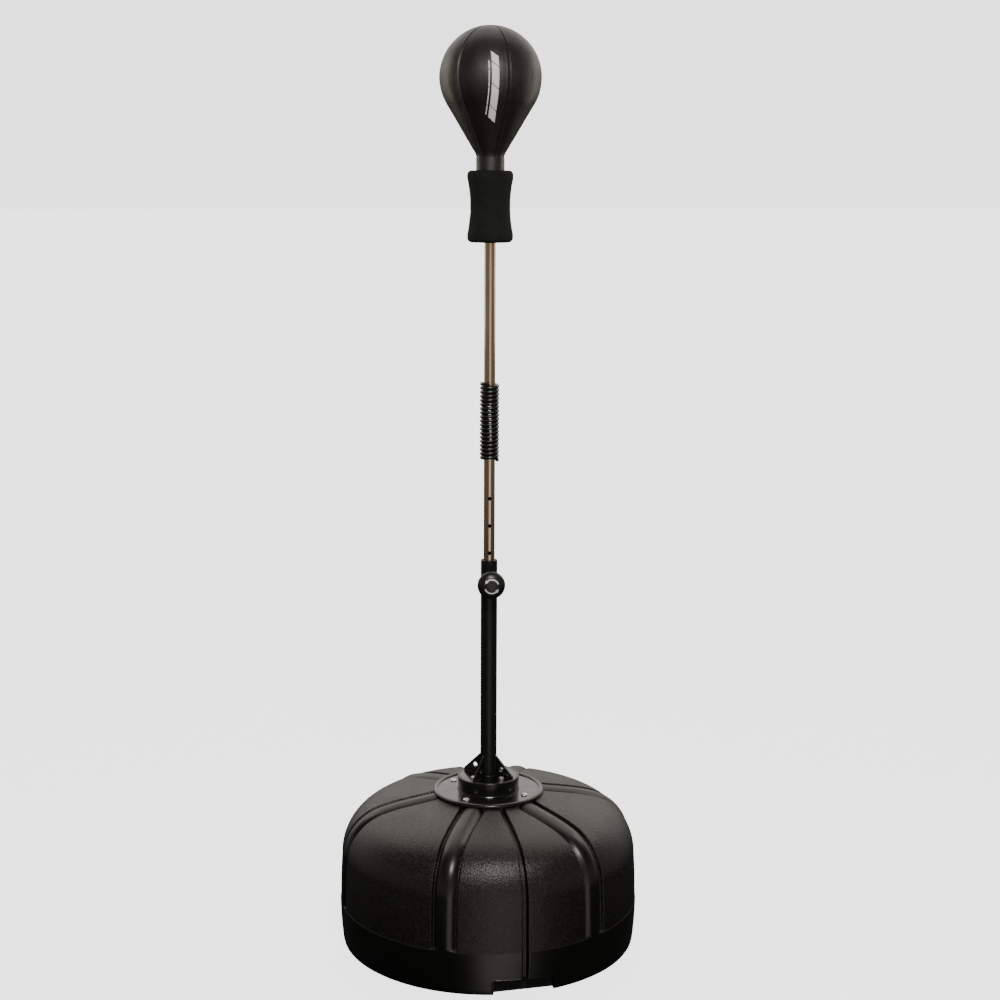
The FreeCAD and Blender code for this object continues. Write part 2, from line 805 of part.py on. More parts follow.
def coil(label, wire_radius, mean_radius, pitch, bottom, top):
    """A right-handed coil of round wire about the body's own Z axis."""
    body = new_body(label)
    sketch = new_sketch(body, label + "_wire")
    draw_circle(sketch, wire_radius, mean_radius, bottom + wire_radius)
    helix = body.newObject("PartDesign::AdditiveHelix", label + "_helix")
    helix.Profile = sketch
    helix.ReferenceAxis = (sketch, ["V_Axis"])
    helix.Mode = "pitch-height-angle"
    helix.setExpression("Pitch", pitch.text)
    helix.setExpression("Height", (top - bottom - wire_radius * 2.0).text)
    helix.LeftHanded = False
    helix.Reversed = False
    return body


def make_lock_spring():
    back = S["pin_collar_front"] + S["lock_spring_gap"]
    front = S["barrel_front"] - S["barrel_end_wall"] - S["lock_spring_gap"]
    body = coil("lock_spring", S["lock_spring_wire"], S["lock_spring_mean"], S["lock_spring_pitch"],
                back, front)
    place_on_lock_axis(body)
    return node(body, "lock_spring")


# ---- sliding tube, spring and upper tube ---------------------------------------------------------

def make_adjust_tube():
    body = new_body("adjust_tube")
    inner = S["tube_radius"] - S["tube_wall"]
    revolve(body, "adjust_wall", [
        (inner, S["adjust_bottom"]),
        (S["tube_radius"], S["adjust_bottom"]),
        (S["tube_radius"], S["adjust_top"]),
        (inner, S["adjust_top"]),
    ])
    hole = cut_hole(body, "height_hole", S["height_hole_radius"], y=S["height_hole_lowest"],
                    role="XZ_Plane", reverse=True)
    row = body.newObject("PartDesign::LinearPattern", "height_holes")
    row.Originals = [hole]
    row.Direction = (origin_plane(body, "Z_Axis"), [""])
    count = SIZES["height_hole_count"]
    row.Occurrences = count
    row.setExpression("Length", (S["height_hole_pitch"] * float(count - 1)).text)
    body.Tip = row
    place(body, angle=LOCK_ANGLE)
    return node(body, "adjust_tube")


def make_glide_plug():
    spigot = S["tube_radius"] - S["tube_wall"] - S["press_gap"]
    outer = S["post_radius"] - S["post_wall"] - S["glide_gap"]
    shoulder = S["adjust_bottom"] - S["press_gap"]
    body = turned("glide_plug", [
        (ZERO, S["glide_bottom"]),
        (outer, S["glide_bottom"]),
        (outer, shoulder),
        (spigot, shoulder),
        (spigot, S["glide_top"]),
        (ZERO, S["glide_top"]),
    ])
    return node(body, "glide_plug")


def spring_plug(label, tube_end, way):
    """A plug in a tube's end. way is 1 where it points up out of the tube, -1 where down."""
    spigot = S["tube_radius"] - S["tube_wall"] - S["press_gap"]
    face = tube_end + S["spring_plug_nose"] * float(way)
    back = tube_end - S["spring_plug_length"] * float(way)
    shoulder = tube_end + S["press_gap"] * float(way)
    corners = [
        (ZERO, back),
        (spigot, back),
        (spigot, shoulder),
        (S["tube_radius"], shoulder),
        (S["spring_plug_nose_radius"], face),
        (ZERO, face),
    ]
    return node(turned(label, corners), label)


def make_coil_spring():
    """The main spring, turned so that the wire's upper end lies at its own angle at the front."""
    wire = S["coil_wire_radius"]
    body = coil("coil_spring", wire, S["coil_outer_radius"] - wire, S["coil_pitch"], S["coil_bottom"],
                S["coil_top"])
    turns = (S["coil_top"] - S["coil_bottom"] - wire * 2.0) / S["coil_pitch"]
    place(body, angle=COIL_END_ANGLE - 360.0 * turns.value)
    return node(body, "coil_spring")


def make_foam_pad():
    bottom = S["foam_bottom"]
    top = S["foam_top"]
    turn = S["foam_round"]
    inner = S["tube_radius"] + S["foam_gap"]
    body = turned("foam_pad", [
        (inner, bottom),
        (S["foam_radius"] - turn, bottom, turn, 1),
        (S["foam_radius"], bottom + turn),
        (S["foam_radius"], bottom + S["foam_waist_start"], S["foam_waist_arc"], -1),
        (S["foam_radius"], top - S["foam_waist_start"]),
        (S["foam_radius"], top - turn, turn, 1),
        (S["foam_radius"] - turn, top),
        (inner, top),
    ])
    return node(body, "foam_pad")


# ---- bag -----------------------------------------------------------------------------------------

def make_tube_top_plug():
    spigot = S["tube_radius"] - S["tube_wall"] - S["press_gap"]
    bottom = S["upper_top"] - S["top_plug_length"]
    body = ring("tube_top_plug", S["stud_radius"] + S["fastener_gap"], spigot, bottom, S["upper_top"])
    return node(body, "tube_top_plug")


def make_bag_stud():
    nut_bottom = S["upper_top"] + S["stud_nut_gap"]
    body = turned("bag_stud", [
        (ZERO, S["stud_bottom"]),
        (S["stud_radius"], S["stud_bottom"]),
        (S["stud_radius"], nut_bottom),
        (S["stud_nut_radius"], nut_bottom),
        (S["stud_nut_radius"], nut_bottom + S["stud_nut_height"]),
        (S["stud_radius"], nut_bottom + S["stud_nut_height"]),
        (S["stud_radius"], S["stud_top"]),
        (ZERO, S["stud_top"]),
    ])
    return node(body, "bag_stud")


def make_neck_plug():
    body = ring("neck_plug", S["stud_radius"] + S["fastener_gap"], S["neck_plug_radius"],
                S["bag_bottom"], S["neck_plug_top"])
    return node(body, "neck_plug")


def make_bag_cover():
    wall = S["bag_wall"]
    side, rise = wall * CONE_STEP[0], wall * CONE_STEP[1]
    body = turned("bag_cover", [
        (S["bag_neck_radius"] - wall, S["bag_bottom"]),
        (S["bag_neck_radius"], S["bag_bottom"]),
        (S["bag_neck_radius"], S["bag_neck_height"], S["bag_throat_arc"], -1),
        (S["bag_throat_radius"], S["bag_throat_height"]),
        (S["bag_cone_radius"], S["bag_cone_height"], None, 1),
        (ZERO, S["bag_middle"] + S["bag_radius"]),
        (ZERO, S["bag_middle"] + S["bag_radius"] - wall, None, -1),
        (S["bag_cone_radius"] - side, S["bag_cone_height"] + rise),
        (S["bag_throat_radius"] - side, S["bag_throat_height"] + rise, S["bag_throat_arc"], 1),
        (S["bag_neck_radius"] - wall, S["bag_neck_height"] + rise),
    ])
    return node(body, "bag_cover")


def make_bag_bladder():
    """A closed rubber bladder with a flat foot, a little smaller than the cover's inside."""
    skin = S["bag_wall"] + S["bladder_gap"]
    wall = S["bladder_wall"]
    outer = S["bag_radius"] - skin
    inner = outer - wall
    side, rise = wall * CONE_STEP[0], wall * CONE_STEP[1]
    cone = S["bag_cone_radius"] - skin * CONE_STEP[0]
    cone_height = S["bag_cone_height"] + skin * CONE_STEP[1]
    foot = S["bladder_bottom"]
    throat = foot + S["bladder_throat_rise"]
    valve_hole = S["valve_radius"] + S["fastener_gap"]
    body = turned("bag_bladder", [
        (valve_hole, foot),
        (S["bladder_neck_radius"], foot),
        (S["bladder_throat_radius"], throat),
        (cone, cone_height, None, 1),
        (ZERO, S["bag_middle"] + outer),
        (ZERO, S["bag_middle"] + inner, None, -1),
        (cone - side, cone_height + rise),
        (S["bladder_throat_radius"] - side, throat + rise),
        (S["bladder_neck_radius"] - side / 2.0, foot + wall),
        (valve_hole, foot + wall),
    ])
    return node(body, "bag_bladder")


def make_bladder_valve():
    foot = S["bladder_bottom"]
    seat = foot - S["fastener_gap"]
    bottom = foot - S["valve_flange_height"]
    body = turned("bladder_valve", [
        (ZERO, bottom),
        (S["valve_flange_radius"], bottom),
        (S["valve_flange_radius"], seat),
        (S["valve_radius"], seat),
        (S["valve_radius"], foot + S["valve_height"]),
        (ZERO, foot + S["valve_height"]),
    ])
    return node(body, "bladder_valve")


def make_everything():
    make_base_tub()
    make_tub_inserts()
    make_filler_cap()
    make_cap_seal()
    make_mounting_flange()
    make_flange_screws()
    make_hub_cup()
    make_foot_plate()
    make_foot_bolts()
    make_foot_nuts()
    for number, angle in enumerate(GUSSET_ANGLES, start=1):
        make_gusset(number, angle)
    make_post_tube()
    make_guide_bush()
    make_lock_boss()
    make_lock_barrel()
    make_lock_pin()
    make_lock_spring()
    make_lock_knob()
    make_knob_insert()
    make_adjust_tube()
    make_glide_plug()
    spring_plug("lower_spring_plug", S["adjust_top"], 1)
    make_coil_spring()
    node(ring("upper_tube", S["tube_radius"] - S["tube_wall"], S["tube_radius"], S["upper_bottom"],
              S["upper_top"]), "upper_tube")
    spring_plug("upper_spring_plug", S["upper_bottom"], -1)
    make_foam_pad()
    make_tube_top_plug()
    make_bag_stud()
    make_neck_plug()
    make_bag_cover()
    make_bag_bladder()
    make_bladder_valve()


def check_and_write():
    """Stops at any failed object or bad solid, then writes one file for each node."""
    DOC.recompute()
    failed = [o.Name for o in DOC.Objects if "Invalid" in o.State or "Error" in o.State]
    if failed:
        raise SystemExit("failed objects: " + ", ".join(failed))
    for obj in NODES:
        shape = obj.Shape
        if shape.isNull() or not shape.isValid() or not shape.Solids:
            raise SystemExit("bad shape: " + obj.Label)
    os.makedirs("parts", exist_ok=True)
    for obj in NODES:
        obj.Shape.exportStep(os.path.join("parts", obj.Label + ".step"))
        print("%-20s solids %d  volume %.0f" % (obj.Label, len(obj.Shape.Solids), obj.Shape.Volume))


make_everything()
check_and_write()
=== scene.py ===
import json
import math

import bmesh
import bpy
import numpy as np
from mathutils import Euler, Matrix, Vector, noise


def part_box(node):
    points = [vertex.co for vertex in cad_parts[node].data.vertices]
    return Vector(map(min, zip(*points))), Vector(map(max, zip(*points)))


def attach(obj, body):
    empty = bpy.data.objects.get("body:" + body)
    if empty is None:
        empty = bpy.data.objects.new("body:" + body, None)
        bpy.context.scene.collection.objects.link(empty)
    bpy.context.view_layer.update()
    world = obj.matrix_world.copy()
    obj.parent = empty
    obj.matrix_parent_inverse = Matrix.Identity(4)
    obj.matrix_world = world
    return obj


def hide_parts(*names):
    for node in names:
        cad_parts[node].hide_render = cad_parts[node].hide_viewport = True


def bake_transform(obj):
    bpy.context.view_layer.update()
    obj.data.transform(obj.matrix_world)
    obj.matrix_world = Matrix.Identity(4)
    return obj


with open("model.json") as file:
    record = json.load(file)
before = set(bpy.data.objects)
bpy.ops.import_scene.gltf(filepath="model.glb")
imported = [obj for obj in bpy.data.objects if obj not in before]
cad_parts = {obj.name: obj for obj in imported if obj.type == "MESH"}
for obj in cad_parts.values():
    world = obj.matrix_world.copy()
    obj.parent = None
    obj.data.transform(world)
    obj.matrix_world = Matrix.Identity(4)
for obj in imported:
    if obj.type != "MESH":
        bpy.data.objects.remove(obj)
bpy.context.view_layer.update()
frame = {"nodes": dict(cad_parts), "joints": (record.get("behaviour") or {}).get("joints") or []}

# The looks of a free-standing speed bag platform, in metres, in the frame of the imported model: +Z is
# up, the pole is on the Z axis and the hand recess faces -Y. Angles are counted from the front, -Y,
# and grow towards +X.

MM = 0.001
CAMERA_SIDE = math.radians(-13.8)  # where the camera stands; the coil's top end faces it too


def span(node):
    """A CAD node's lowest and highest point along Z, and its largest radius across."""
    low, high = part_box(node)
    return low.z, high.z, max(abs(low.x), abs(high.x))


# ---- meshes --------------------------------------------------------------------------------------

def new_object(name, data):
    """An object for the data, linked into the scene."""
    obj = bpy.data.objects.new(name, data)
    bpy.context.scene.collection.objects.link(obj)
    return obj


def evaluated_mesh(obj):
    """A copy of the object's mesh with its modifiers, or its curve's bevel, applied."""
    graph = bpy.context.evaluated_depsgraph_get()
    return bpy.data.meshes.new_from_object(obj.evaluated_get(graph))


def mark_points(obj, name, values):
    """Stores one number for each point, which materials read by name."""
    layer = obj.data.attributes.new(name, "FLOAT", "POINT")
    layer.data.foreach_set("value", np.array(values, np.float32))


def closed_rows(rows, width):
    """The quads between rows of points that each close on themselves."""
    faces = []
    for j in range(rows - 1):
        here, above = j * width, (j + 1) * width
        for k in range(width):
            k1 = (k + 1) % width
            faces.append((here + k, here + k1, above + k1, above + k))
    return faces


def on_circle(radius, angle):
    """The move from the Z axis to a place on a circle round it."""
    return Matrix.Translation((radius * math.sin(angle), -radius * math.cos(angle), 0.0))


def make_mesh(name, points, faces, sharp=40.0):
    """A smooth-shaded mesh object whose edges over the sharp angle, in degrees, stay crisp."""
    mesh = bpy.data.meshes.new(name)
    mesh.from_pydata([tuple(p) for p in points], [], faces)
    mesh.validate()
    mesh.update()
    mesh.shade_smooth()
    mesh.set_sharp_from_angle(angle=math.radians(sharp))
    return new_object(name, mesh)


def finish_piece(obj, body, material, replaces=()):
    """Gives a piece its material, the CAD body it moves with and the nodes it stands for."""
    obj.data.materials.clear()
    obj.data.materials.append(material)
    if body:
        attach(obj, body)
    if replaces:
        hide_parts(*replaces)
    return obj


def rounded(corners, steps=5):
    """The closed outline through corners (x, y, round), each rounded by an arc with support points."""
    out = []
    count = len(corners)
    for i, (x, y, fillet) in enumerate(corners):
        here = Vector((x, y))
        before = Vector(corners[i - 1][:2]) - here
        after = Vector(corners[(i + 1) % count][:2]) - here
        if fillet <= 0.0 or before.length < 1e-9 or after.length < 1e-9:
            out.append(here)
            continue
        a, b = before.normalized(), after.normalized()
        angle = math.acos(max(-1.0, min(1.0, a.dot(b))))
        if angle > math.radians(177):
            out.append(here)
            continue
        reach = min(fillet / math.tan(angle / 2.0), 0.45 * before.length, 0.45 * after.length)
        radius = reach * math.tan(angle / 2.0)
        centre = here + (a + b).normalized() * (radius / math.sin(angle / 2.0))
        start, end = here + a * reach, here + b * reach
        out.append(start + a * min(0.3 * reach, 0.2 * (before.length - reach)))
        first, last = start - centre, end - centre
        sweep = first.angle_signed(last)
        for k in range(steps + 1):
            turn = Matrix.Rotation(-sweep * k / steps, 2)
            out.append(centre + turn @ first)
        out.append(end + b * min(0.3 * reach, 0.2 * (after.length - reach)))
    return out


def lathe(name, corners, segments=96, steps=5, sharp=40.0):
    """A solid of revolution about Z from a closed outline of (radius, height, round) corners."""
    outline = rounded(corners, steps)
    points, rings = [], []
    for p in outline:
        if p.x < 1e-7:
            rings.append([len(points)])
            points.append((0.0, 0.0, p.y))
            continue
        rings.append(list(range(len(points), len(points) + segments)))
        for k in range(segments):
            a = 2 * math.pi * k / segments
            points.append((p.x * math.cos(a), p.x * math.sin(a), p.y))
    faces = []
    for i, ring in enumerate(rings):
        after = rings[(i + 1) % len(rings)]
        if len(ring) == 1 and len(after) == 1:
            continue
        for k in range(segments):
            k1 = (k + 1) % segments
            if len(ring) == 1:
                faces.append((ring[0], after[k1], after[k]))
            elif len(after) == 1:
                faces.append((ring[k], ring[k1], after[0]))
            else:
                faces.append((ring[k], ring[k1], after[k1], after[k]))
    return recalc(make_mesh(name, points, faces, sharp))


def recalc(obj, merge=0.0):
    """Turns all faces outwards, after joining points that are closer than the merge distance."""
    bm = bmesh.new()
    bm.from_mesh(obj.data)
    if merge:
        bmesh.ops.remove_doubles(bm, verts=bm.verts, dist=merge)
    bmesh.ops.recalc_face_normals(bm, faces=bm.faces)
    bm.to_mesh(obj.data)
    bm.free()
    return obj


def joined(name, parts, sharp=40.0):
    """One object of several; the parts are removed."""
    points, faces = [], []
    for part in parts:
        base = len(points)
        points += [tuple(part.matrix_world @ v.co) for v in part.data.vertices]
        faces += [tuple(base + i for i in f.vertices) for f in part.data.polygons]
        bpy.data.objects.remove(part)
    return make_mesh(name, points, faces, sharp)


def moved(obj, matrix):
    """Moves an object's mesh."""
    obj.data.transform(matrix)
    obj.data.update()
    return obj


def cut_away(obj, *tools):
    """Subtracts the tools from the object and removes them."""
    for tool in tools:
        cutter = obj.modifiers.new("cut", "BOOLEAN")
        cutter.operation = "DIFFERENCE"
        cutter.solver = "EXACT"
        cutter.object = tool
    mesh = evaluated_mesh(obj)
    obj.modifiers.clear()
    obj.data = mesh
    for tool in tools:
        bpy.data.objects.remove(tool)
    return obj


def sharpen(obj, sharp):
    """Smooth shading, with edges over the sharp angle kept crisp."""
    obj.data.shade_smooth()
    obj.data.set_sharp_from_angle(angle=math.radians(sharp))
    return obj


def tube_along(name, path, radius, sides):
    """A round bar along a list of points, with rounded ends."""
    path = [Vector(p) for p in path]
    tangents = []
    for i in range(len(path)):
        ahead = path[min(i + 1, len(path) - 1)] - path[max(i - 1, 0)]
        tangents.append(ahead.normalized())
    up = Vector((0, 0, 1)) if abs(tangents[0].z) < 0.9 else Vector((1, 0, 0))
    points, rings = [], []

    def add_ring(centre, tangent, r):
        side = tangent.cross(up).normalized()
        top = side.cross(tangent)
        rings.append(list(range(len(points), len(points) + sides)))
        for k in range(sides):
            a = 2 * math.pi * k / sides
            points.append(centre + side * (r * math.cos(a)) + top * (r * math.sin(a)))

    edge = radius * 0.12
    add_ring(path[0] - tangents[0] * edge, tangents[0], radius - edge)
    for p, t in zip(path, tangents):
        add_ring(p, t, radius)
    add_ring(path[-1] + tangents[-1] * edge, tangents[-1], radius - edge)
    faces = []
    for a, b in zip(rings, rings[1:]):
        for k in range(sides):
            k1 = (k + 1) % sides
            faces.append((a[k], a[k1], b[k1], b[k]))
    faces.append(tuple(reversed(rings[0])))
    faces.append(tuple(rings[-1]))
    return recalc(make_mesh(name, points, faces, 50.0))


def plate(name, outline, holes, thickness, bevel):
    """A flat plate in its own XZ plane, centred on y = 0, with bevelled edges."""
    curve = bpy.data.curves.new(name, "CURVE")
    curve.dimensions = "2D"
    curve.fill_mode = "BOTH"
    curve.extrude = thickness / 2.0 - bevel
    curve.bevel_depth = bevel
    curve.bevel_resolution = 2
    curve.offset = -bevel
    for ring in [outline] + holes:
        spline = curve.splines.new("POLY")
        spline.points.add(len(ring) - 1)
        for point, (x, y) in zip(spline.points, ring):
            point.co = (x, y, 0.0, 1.0)
        spline.use_cyclic_u = True
    holder = new_object(name, curve)
    mesh = evaluated_mesh(holder)
    bpy.data.objects.remove(holder)
    obj = moved(new_object(name, mesh), Matrix.Rotation(math.pi / 2.0, 4, "X"))
    return sharpen(recalc(obj, merge=1e-6), 30.0)


# ---- materials -----------------------------------------------------------------------------------

class Paint:
    """A node material that is put together step by step."""

    def __init__(self, name, color, roughness, metallic=0.0, **sockets):
        self.material = bpy.data.materials.new(name)
        self.material.use_nodes = True
        self.tree = self.material.node_tree
        self.shader = self.tree.nodes["Principled BSDF"]
        self.shader.inputs["Base Color"].default_value = (*color, 1.0)
        self.shader.inputs["Roughness"].default_value = roughness
        self.shader.inputs["Metallic"].default_value = metallic
        for key, value in sockets.items():
            self.shader.inputs[key.replace("_", " ")].default_value = value
        self.place = self.add("ShaderNodeTexCoord").outputs["Object"]

    def add(self, kind, **values):
        node = self.tree.nodes.new(kind)
        for key, value in values.items():
            setattr(node, key, value)
        return node

    def link(self, out, into):
        self.tree.links.new(out, into)

    def stretched(self, scale):
        """Object coordinates scaled along each axis."""
        node = self.add("ShaderNodeMapping")
        node.inputs["Scale"].default_value = scale
        self.link(self.place, node.inputs["Vector"])
        return node.outputs["Vector"]

    def noise(self, scale, detail=3.0, rough=0.55, vector=None, distortion=0.0):
        node = self.add("ShaderNodeTexNoise")
        node.inputs["Scale"].default_value = scale
        node.inputs["Detail"].default_value = detail
        node.inputs["Roughness"].default_value = rough
        node.inputs["Distortion"].default_value = distortion
        self.link(vector or self.place, node.inputs["Vector"])
        return node.outputs["Fac"]

    def cells(self, scale, feature="F1"):
        node = self.add("ShaderNodeTexVoronoi", feature=feature)
        node.inputs["Scale"].default_value = scale
        self.link(self.place, node.inputs["Vector"])
        return node.outputs["Distance"]

    def ramp(self, value, low, high, to_low=0.0, to_high=1.0):
        node = self.add("ShaderNodeMapRange", interpolation_type="SMOOTHSTEP")
        node.inputs["From Min"].default_value = low
        node.inputs["From Max"].default_value = high
        node.inputs["To Min"].default_value = to_low
        node.inputs["To Max"].default_value = to_high
        self.link(value, node.inputs["Value"])
        return node.outputs["Result"]

    def math(self, operation, a, b):
        node = self.add("ShaderNodeMath", operation=operation)
        for socket, value in zip(node.inputs, (a, b)):
            if isinstance(value, (int, float)):
                socket.default_value = value
            else:
                self.link(value, socket)
        return node.outputs["Value"]

    def mix(self, factor, a, b):
        node = self.add("ShaderNodeMix", data_type="RGBA")
        self.link(factor, node.inputs["Factor"])
        for socket, value in ((node.inputs[6], a), (node.inputs[7], b)):
            if isinstance(value, tuple):
                socket.default_value = (*value, 1.0)
            else:
                self.link(value, socket)
        return node.outputs[2]

    def attribute(self, name):
        node = self.add("ShaderNodeAttribute", attribute_name=name)
        return node.outputs["Fac"]

    def facing_up(self):
        """How far the surface faces up, from -1 to 1."""
        geometry = self.add("ShaderNodeNewGeometry")
        split = self.add("ShaderNodeSeparateXYZ")
        self.link(geometry.outputs["Normal"], split.inputs["Vector"])
        return split.outputs["Z"]

    def edges(self, low, high):
        """1 on worn outer edges, from the surface's own curvature."""
        geometry = self.add("ShaderNodeNewGeometry")
        return self.ramp(geometry.outputs["Pointiness"], low, high)

    def bump(self, height, strength, distance):
        node = self.add("ShaderNodeBump")
        node.inputs["Strength"].default_value = strength
        node.inputs["Distance"].default_value = distance
        self.link(height, node.inputs["Height"])
        if self.shader.inputs["Normal"].is_linked:
            self.link(self.shader.inputs["Normal"].links[0].from_socket, node.inputs["Normal"])
        self.link(node.outputs["Normal"], self.shader.inputs["Normal"])

    def set(self, socket, value):
        self.link(value, self.shader.inputs[socket])


def tub_plastic():
    """Blow-moulded polyethylene: a flecked, leathery grain on the panels, smoother ribs, dust on top that
    doubles as painted top light, and painted shade in the hand recess.
    """
    p = Paint("tub_plastic", (0.018, 0.017, 0.015), 0.42)
    smooth = p.attribute("smooth")
    painted_recess_shade = p.attribute("painted_recess_shade")
    rough_side = p.math("SUBTRACT", 1.0, smooth)
    grain = p.cells(330.0)
    fine = p.noise(620.0, 4.0, 0.65)
    flecks = p.noise(230.0, 5.0, 0.7, distortion=0.6)
    broad = p.noise(9.0, 4.0, 0.6)
    fleck = p.math("MULTIPLY", p.ramp(flecks, 0.47, 0.66), rough_side)
    # Dust on up-facing surfaces that also stands in for light from above: partly real dust, partly painted
    # top light.
    dust_and_top_light = p.math("MULTIPLY", p.ramp(p.facing_up(), 0.68, 1.0), p.ramp(broad, 0.3, 0.7, 0.6, 1.0))
    dust_and_top_light = p.math("MULTIPLY", dust_and_top_light, p.ramp(flecks, 0.35, 0.7, 0.7, 1.0))
    plain = p.mix(fleck, (0.0052, 0.0050, 0.0043), (0.020, 0.019, 0.016))
    outer = p.mix(p.math("MULTIPLY", dust_and_top_light, 0.8), plain, (0.036, 0.032, 0.023))
    # Painted shade: the hand recess's back and inner edges are mixed towards near-black.
    p.set("Base Color", p.mix(painted_recess_shade, outer, (0.0015, 0.0015, 0.0015)))
    uneven = p.math("ADD", p.ramp(broad, 0.3, 0.7, 0.27, 0.33), p.math("MULTIPLY", fleck, 0.12))
    softer = p.math("ADD", uneven, p.math("MULTIPLY", dust_and_top_light, 0.14))
    p.set("Roughness", p.math("ADD", softer, p.math("MULTIPLY", painted_recess_shade, 0.5)))
    p.bump(p.math("MULTIPLY", p.math("ADD", grain, fine), rough_side), 0.35, 0.0008)
    p.bump(p.math("MULTIPLY", flecks, rough_side), 0.45, 0.0014)
    p.bump(p.noise(14.0, 2.0), 0.10, 0.004)
    return p.material


def gloss_black():
    """Powder coat on steel, with a little orange peel."""
    p = Paint("gloss_black", (0.006, 0.006, 0.0055), 0.22, Coat_Weight=0.35, Coat_Roughness=0.12)
    uneven = p.noise(35.0, 4.0, 0.6)
    p.set("Roughness", p.ramp(uneven, 0.3, 0.75, 0.17, 0.30))
    p.set("Base Color", p.mix(p.edges(0.55, 0.68), (0.006, 0.006, 0.0055), (0.030, 0.029, 0.027)))
    p.bump(p.noise(420.0, 3.0, 0.5), 0.12, 0.0004)
    return p.material


def satin_black():
    """Duller powder coat on the post."""
    p = Paint("satin_black", (0.006, 0.006, 0.0055), 0.42, Specular_IOR_Level=0.35)
    uneven = p.noise(35.0, 4.0, 0.6)
    p.set("Roughness", p.ramp(uneven, 0.3, 0.75, 0.36, 0.50))
    p.bump(p.noise(420.0, 3.0, 0.5), 0.10, 0.0004)
    return p.material


def spring_coat():
    """Black coating on the coil, with lighter scuffs."""
    p = Paint("spring_coat", (0.008, 0.008, 0.0075), 0.3, Coat_Weight=0.5, Coat_Roughness=0.25)
    scuffs = p.noise(160.0, 5.0, 0.65)
    p.set("Roughness", p.ramp(scuffs, 0.3, 0.75, 0.25, 0.42))
    p.set("Base Color", p.mix(p.ramp(scuffs, 0.58, 0.8), (0.009, 0.009, 0.0085), (0.026, 0.025, 0.024)))
    p.bump(p.noise(700.0, 3.0, 0.55), 0.15, 0.0003)
    return p.material


def bronze_chrome():
    """Tinted plating with faint draw lines along the tube and a few dull spots."""
    p = Paint("bronze_chrome", (0.40, 0.31, 0.24), 0.2, metallic=1.0)
    lines = p.noise(1.0, 4.0, 0.6, p.stretched((2600.0, 2600.0, 30.0)))
    spots = p.noise(120.0, 5.0, 0.7)
    broad = p.noise(1.0, 3.0, 0.5, p.stretched((45.0, 45.0, 7.0)))
    tint = p.mix(p.ramp(broad, 0.3, 0.7), (0.44, 0.31, 0.21), (0.55, 0.41, 0.30))
    p.set("Base Color", p.mix(p.ramp(spots, 0.64, 0.8), tint, (0.20, 0.13, 0.08)))
    p.set("Roughness", p.math("ADD", p.ramp(lines, 0.3, 0.7, 0.15, 0.25), p.ramp(spots, 0.6, 0.8, 0.0, 0.2)))
    p.bump(lines, 0.06, 0.0002)
    return p.material


def zinc():
    """Bright zinc plating with a fine fleck."""
    p = Paint("zinc", (0.85, 0.85, 0.84), 0.4, metallic=1.0)
    flecks = p.noise(420.0, 4.0, 0.6)
    p.set("Roughness", p.ramp(flecks, 0.3, 0.7, 0.34, 0.5))
    p.set("Base Color", p.mix(flecks, (0.74, 0.73, 0.71), (0.92, 0.92, 0.91)))
    p.bump(flecks, 0.08, 0.0002)
    return p.material


def brass():
    """Brass of the threaded inserts."""
    p = Paint("brass", (0.72, 0.54, 0.24), 0.32, metallic=1.0)
    flecks = p.noise(300.0, 4.0, 0.6)
    p.set("Roughness", p.ramp(flecks, 0.3, 0.7, 0.25, 0.42))
    p.bump(flecks, 0.08, 0.0002)
    return p.material


def knob_plastic():
    """The knob's scuffed black plastic."""
    p = Paint("knob_plastic", (0.010, 0.010, 0.010), 0.36, Specular_IOR_Level=0.5)
    scuffs = p.noise(85.0, 5.0, 0.65)
    p.set("Roughness", p.ramp(scuffs, 0.3, 0.75, 0.29, 0.44))
    p.set("Base Color", p.mix(p.edges(0.54, 0.66), (0.010, 0.010, 0.010), (0.030, 0.029, 0.028)))
    p.bump(p.noise(1100.0, 3.0, 0.5), 0.2, 0.0003)
    return p.material


def dull_plastic(name, color):
    """Plain dull plastic or rubber in one colour."""
    p = Paint(name, color, 0.5)
    mottle = p.noise(150.0, 4.0, 0.6)
    p.set("Roughness", p.ramp(mottle, 0.3, 0.7, 0.42, 0.58))
    p.bump(mottle, 0.15, 0.0004)
    return p.material


def foam():
    """Closed-cell foam: matte, with fine open pores whose centres are darkened as painted shade, and soft
    mottling.
    """
    p = Paint("foam", (0.018, 0.018, 0.016), 0.85, Specular_IOR_Level=0.2)
    pores = p.cells(780.0)
    mottle = p.noise(60.0, 5.0, 0.65)
    shade = p.mix(p.ramp(mottle, 0.32, 0.68), (0.0085, 0.0088, 0.0074), (0.0145, 0.015, 0.0128))
    # Painted shade: the pore centres are mixed towards near-black.
    p.set("Base Color", p.mix(p.ramp(pores, 0.0, 0.45), (0.006, 0.006, 0.006), shade))
    p.set("Roughness", p.ramp(mottle, 0.3, 0.7, 0.78, 0.92))
    p.bump(p.ramp(pores, 0.05, 0.5), 0.6, 0.0005)
    p.bump(p.noise(330.0, 4.0, 0.6), 0.35, 0.0006)
    return p.material


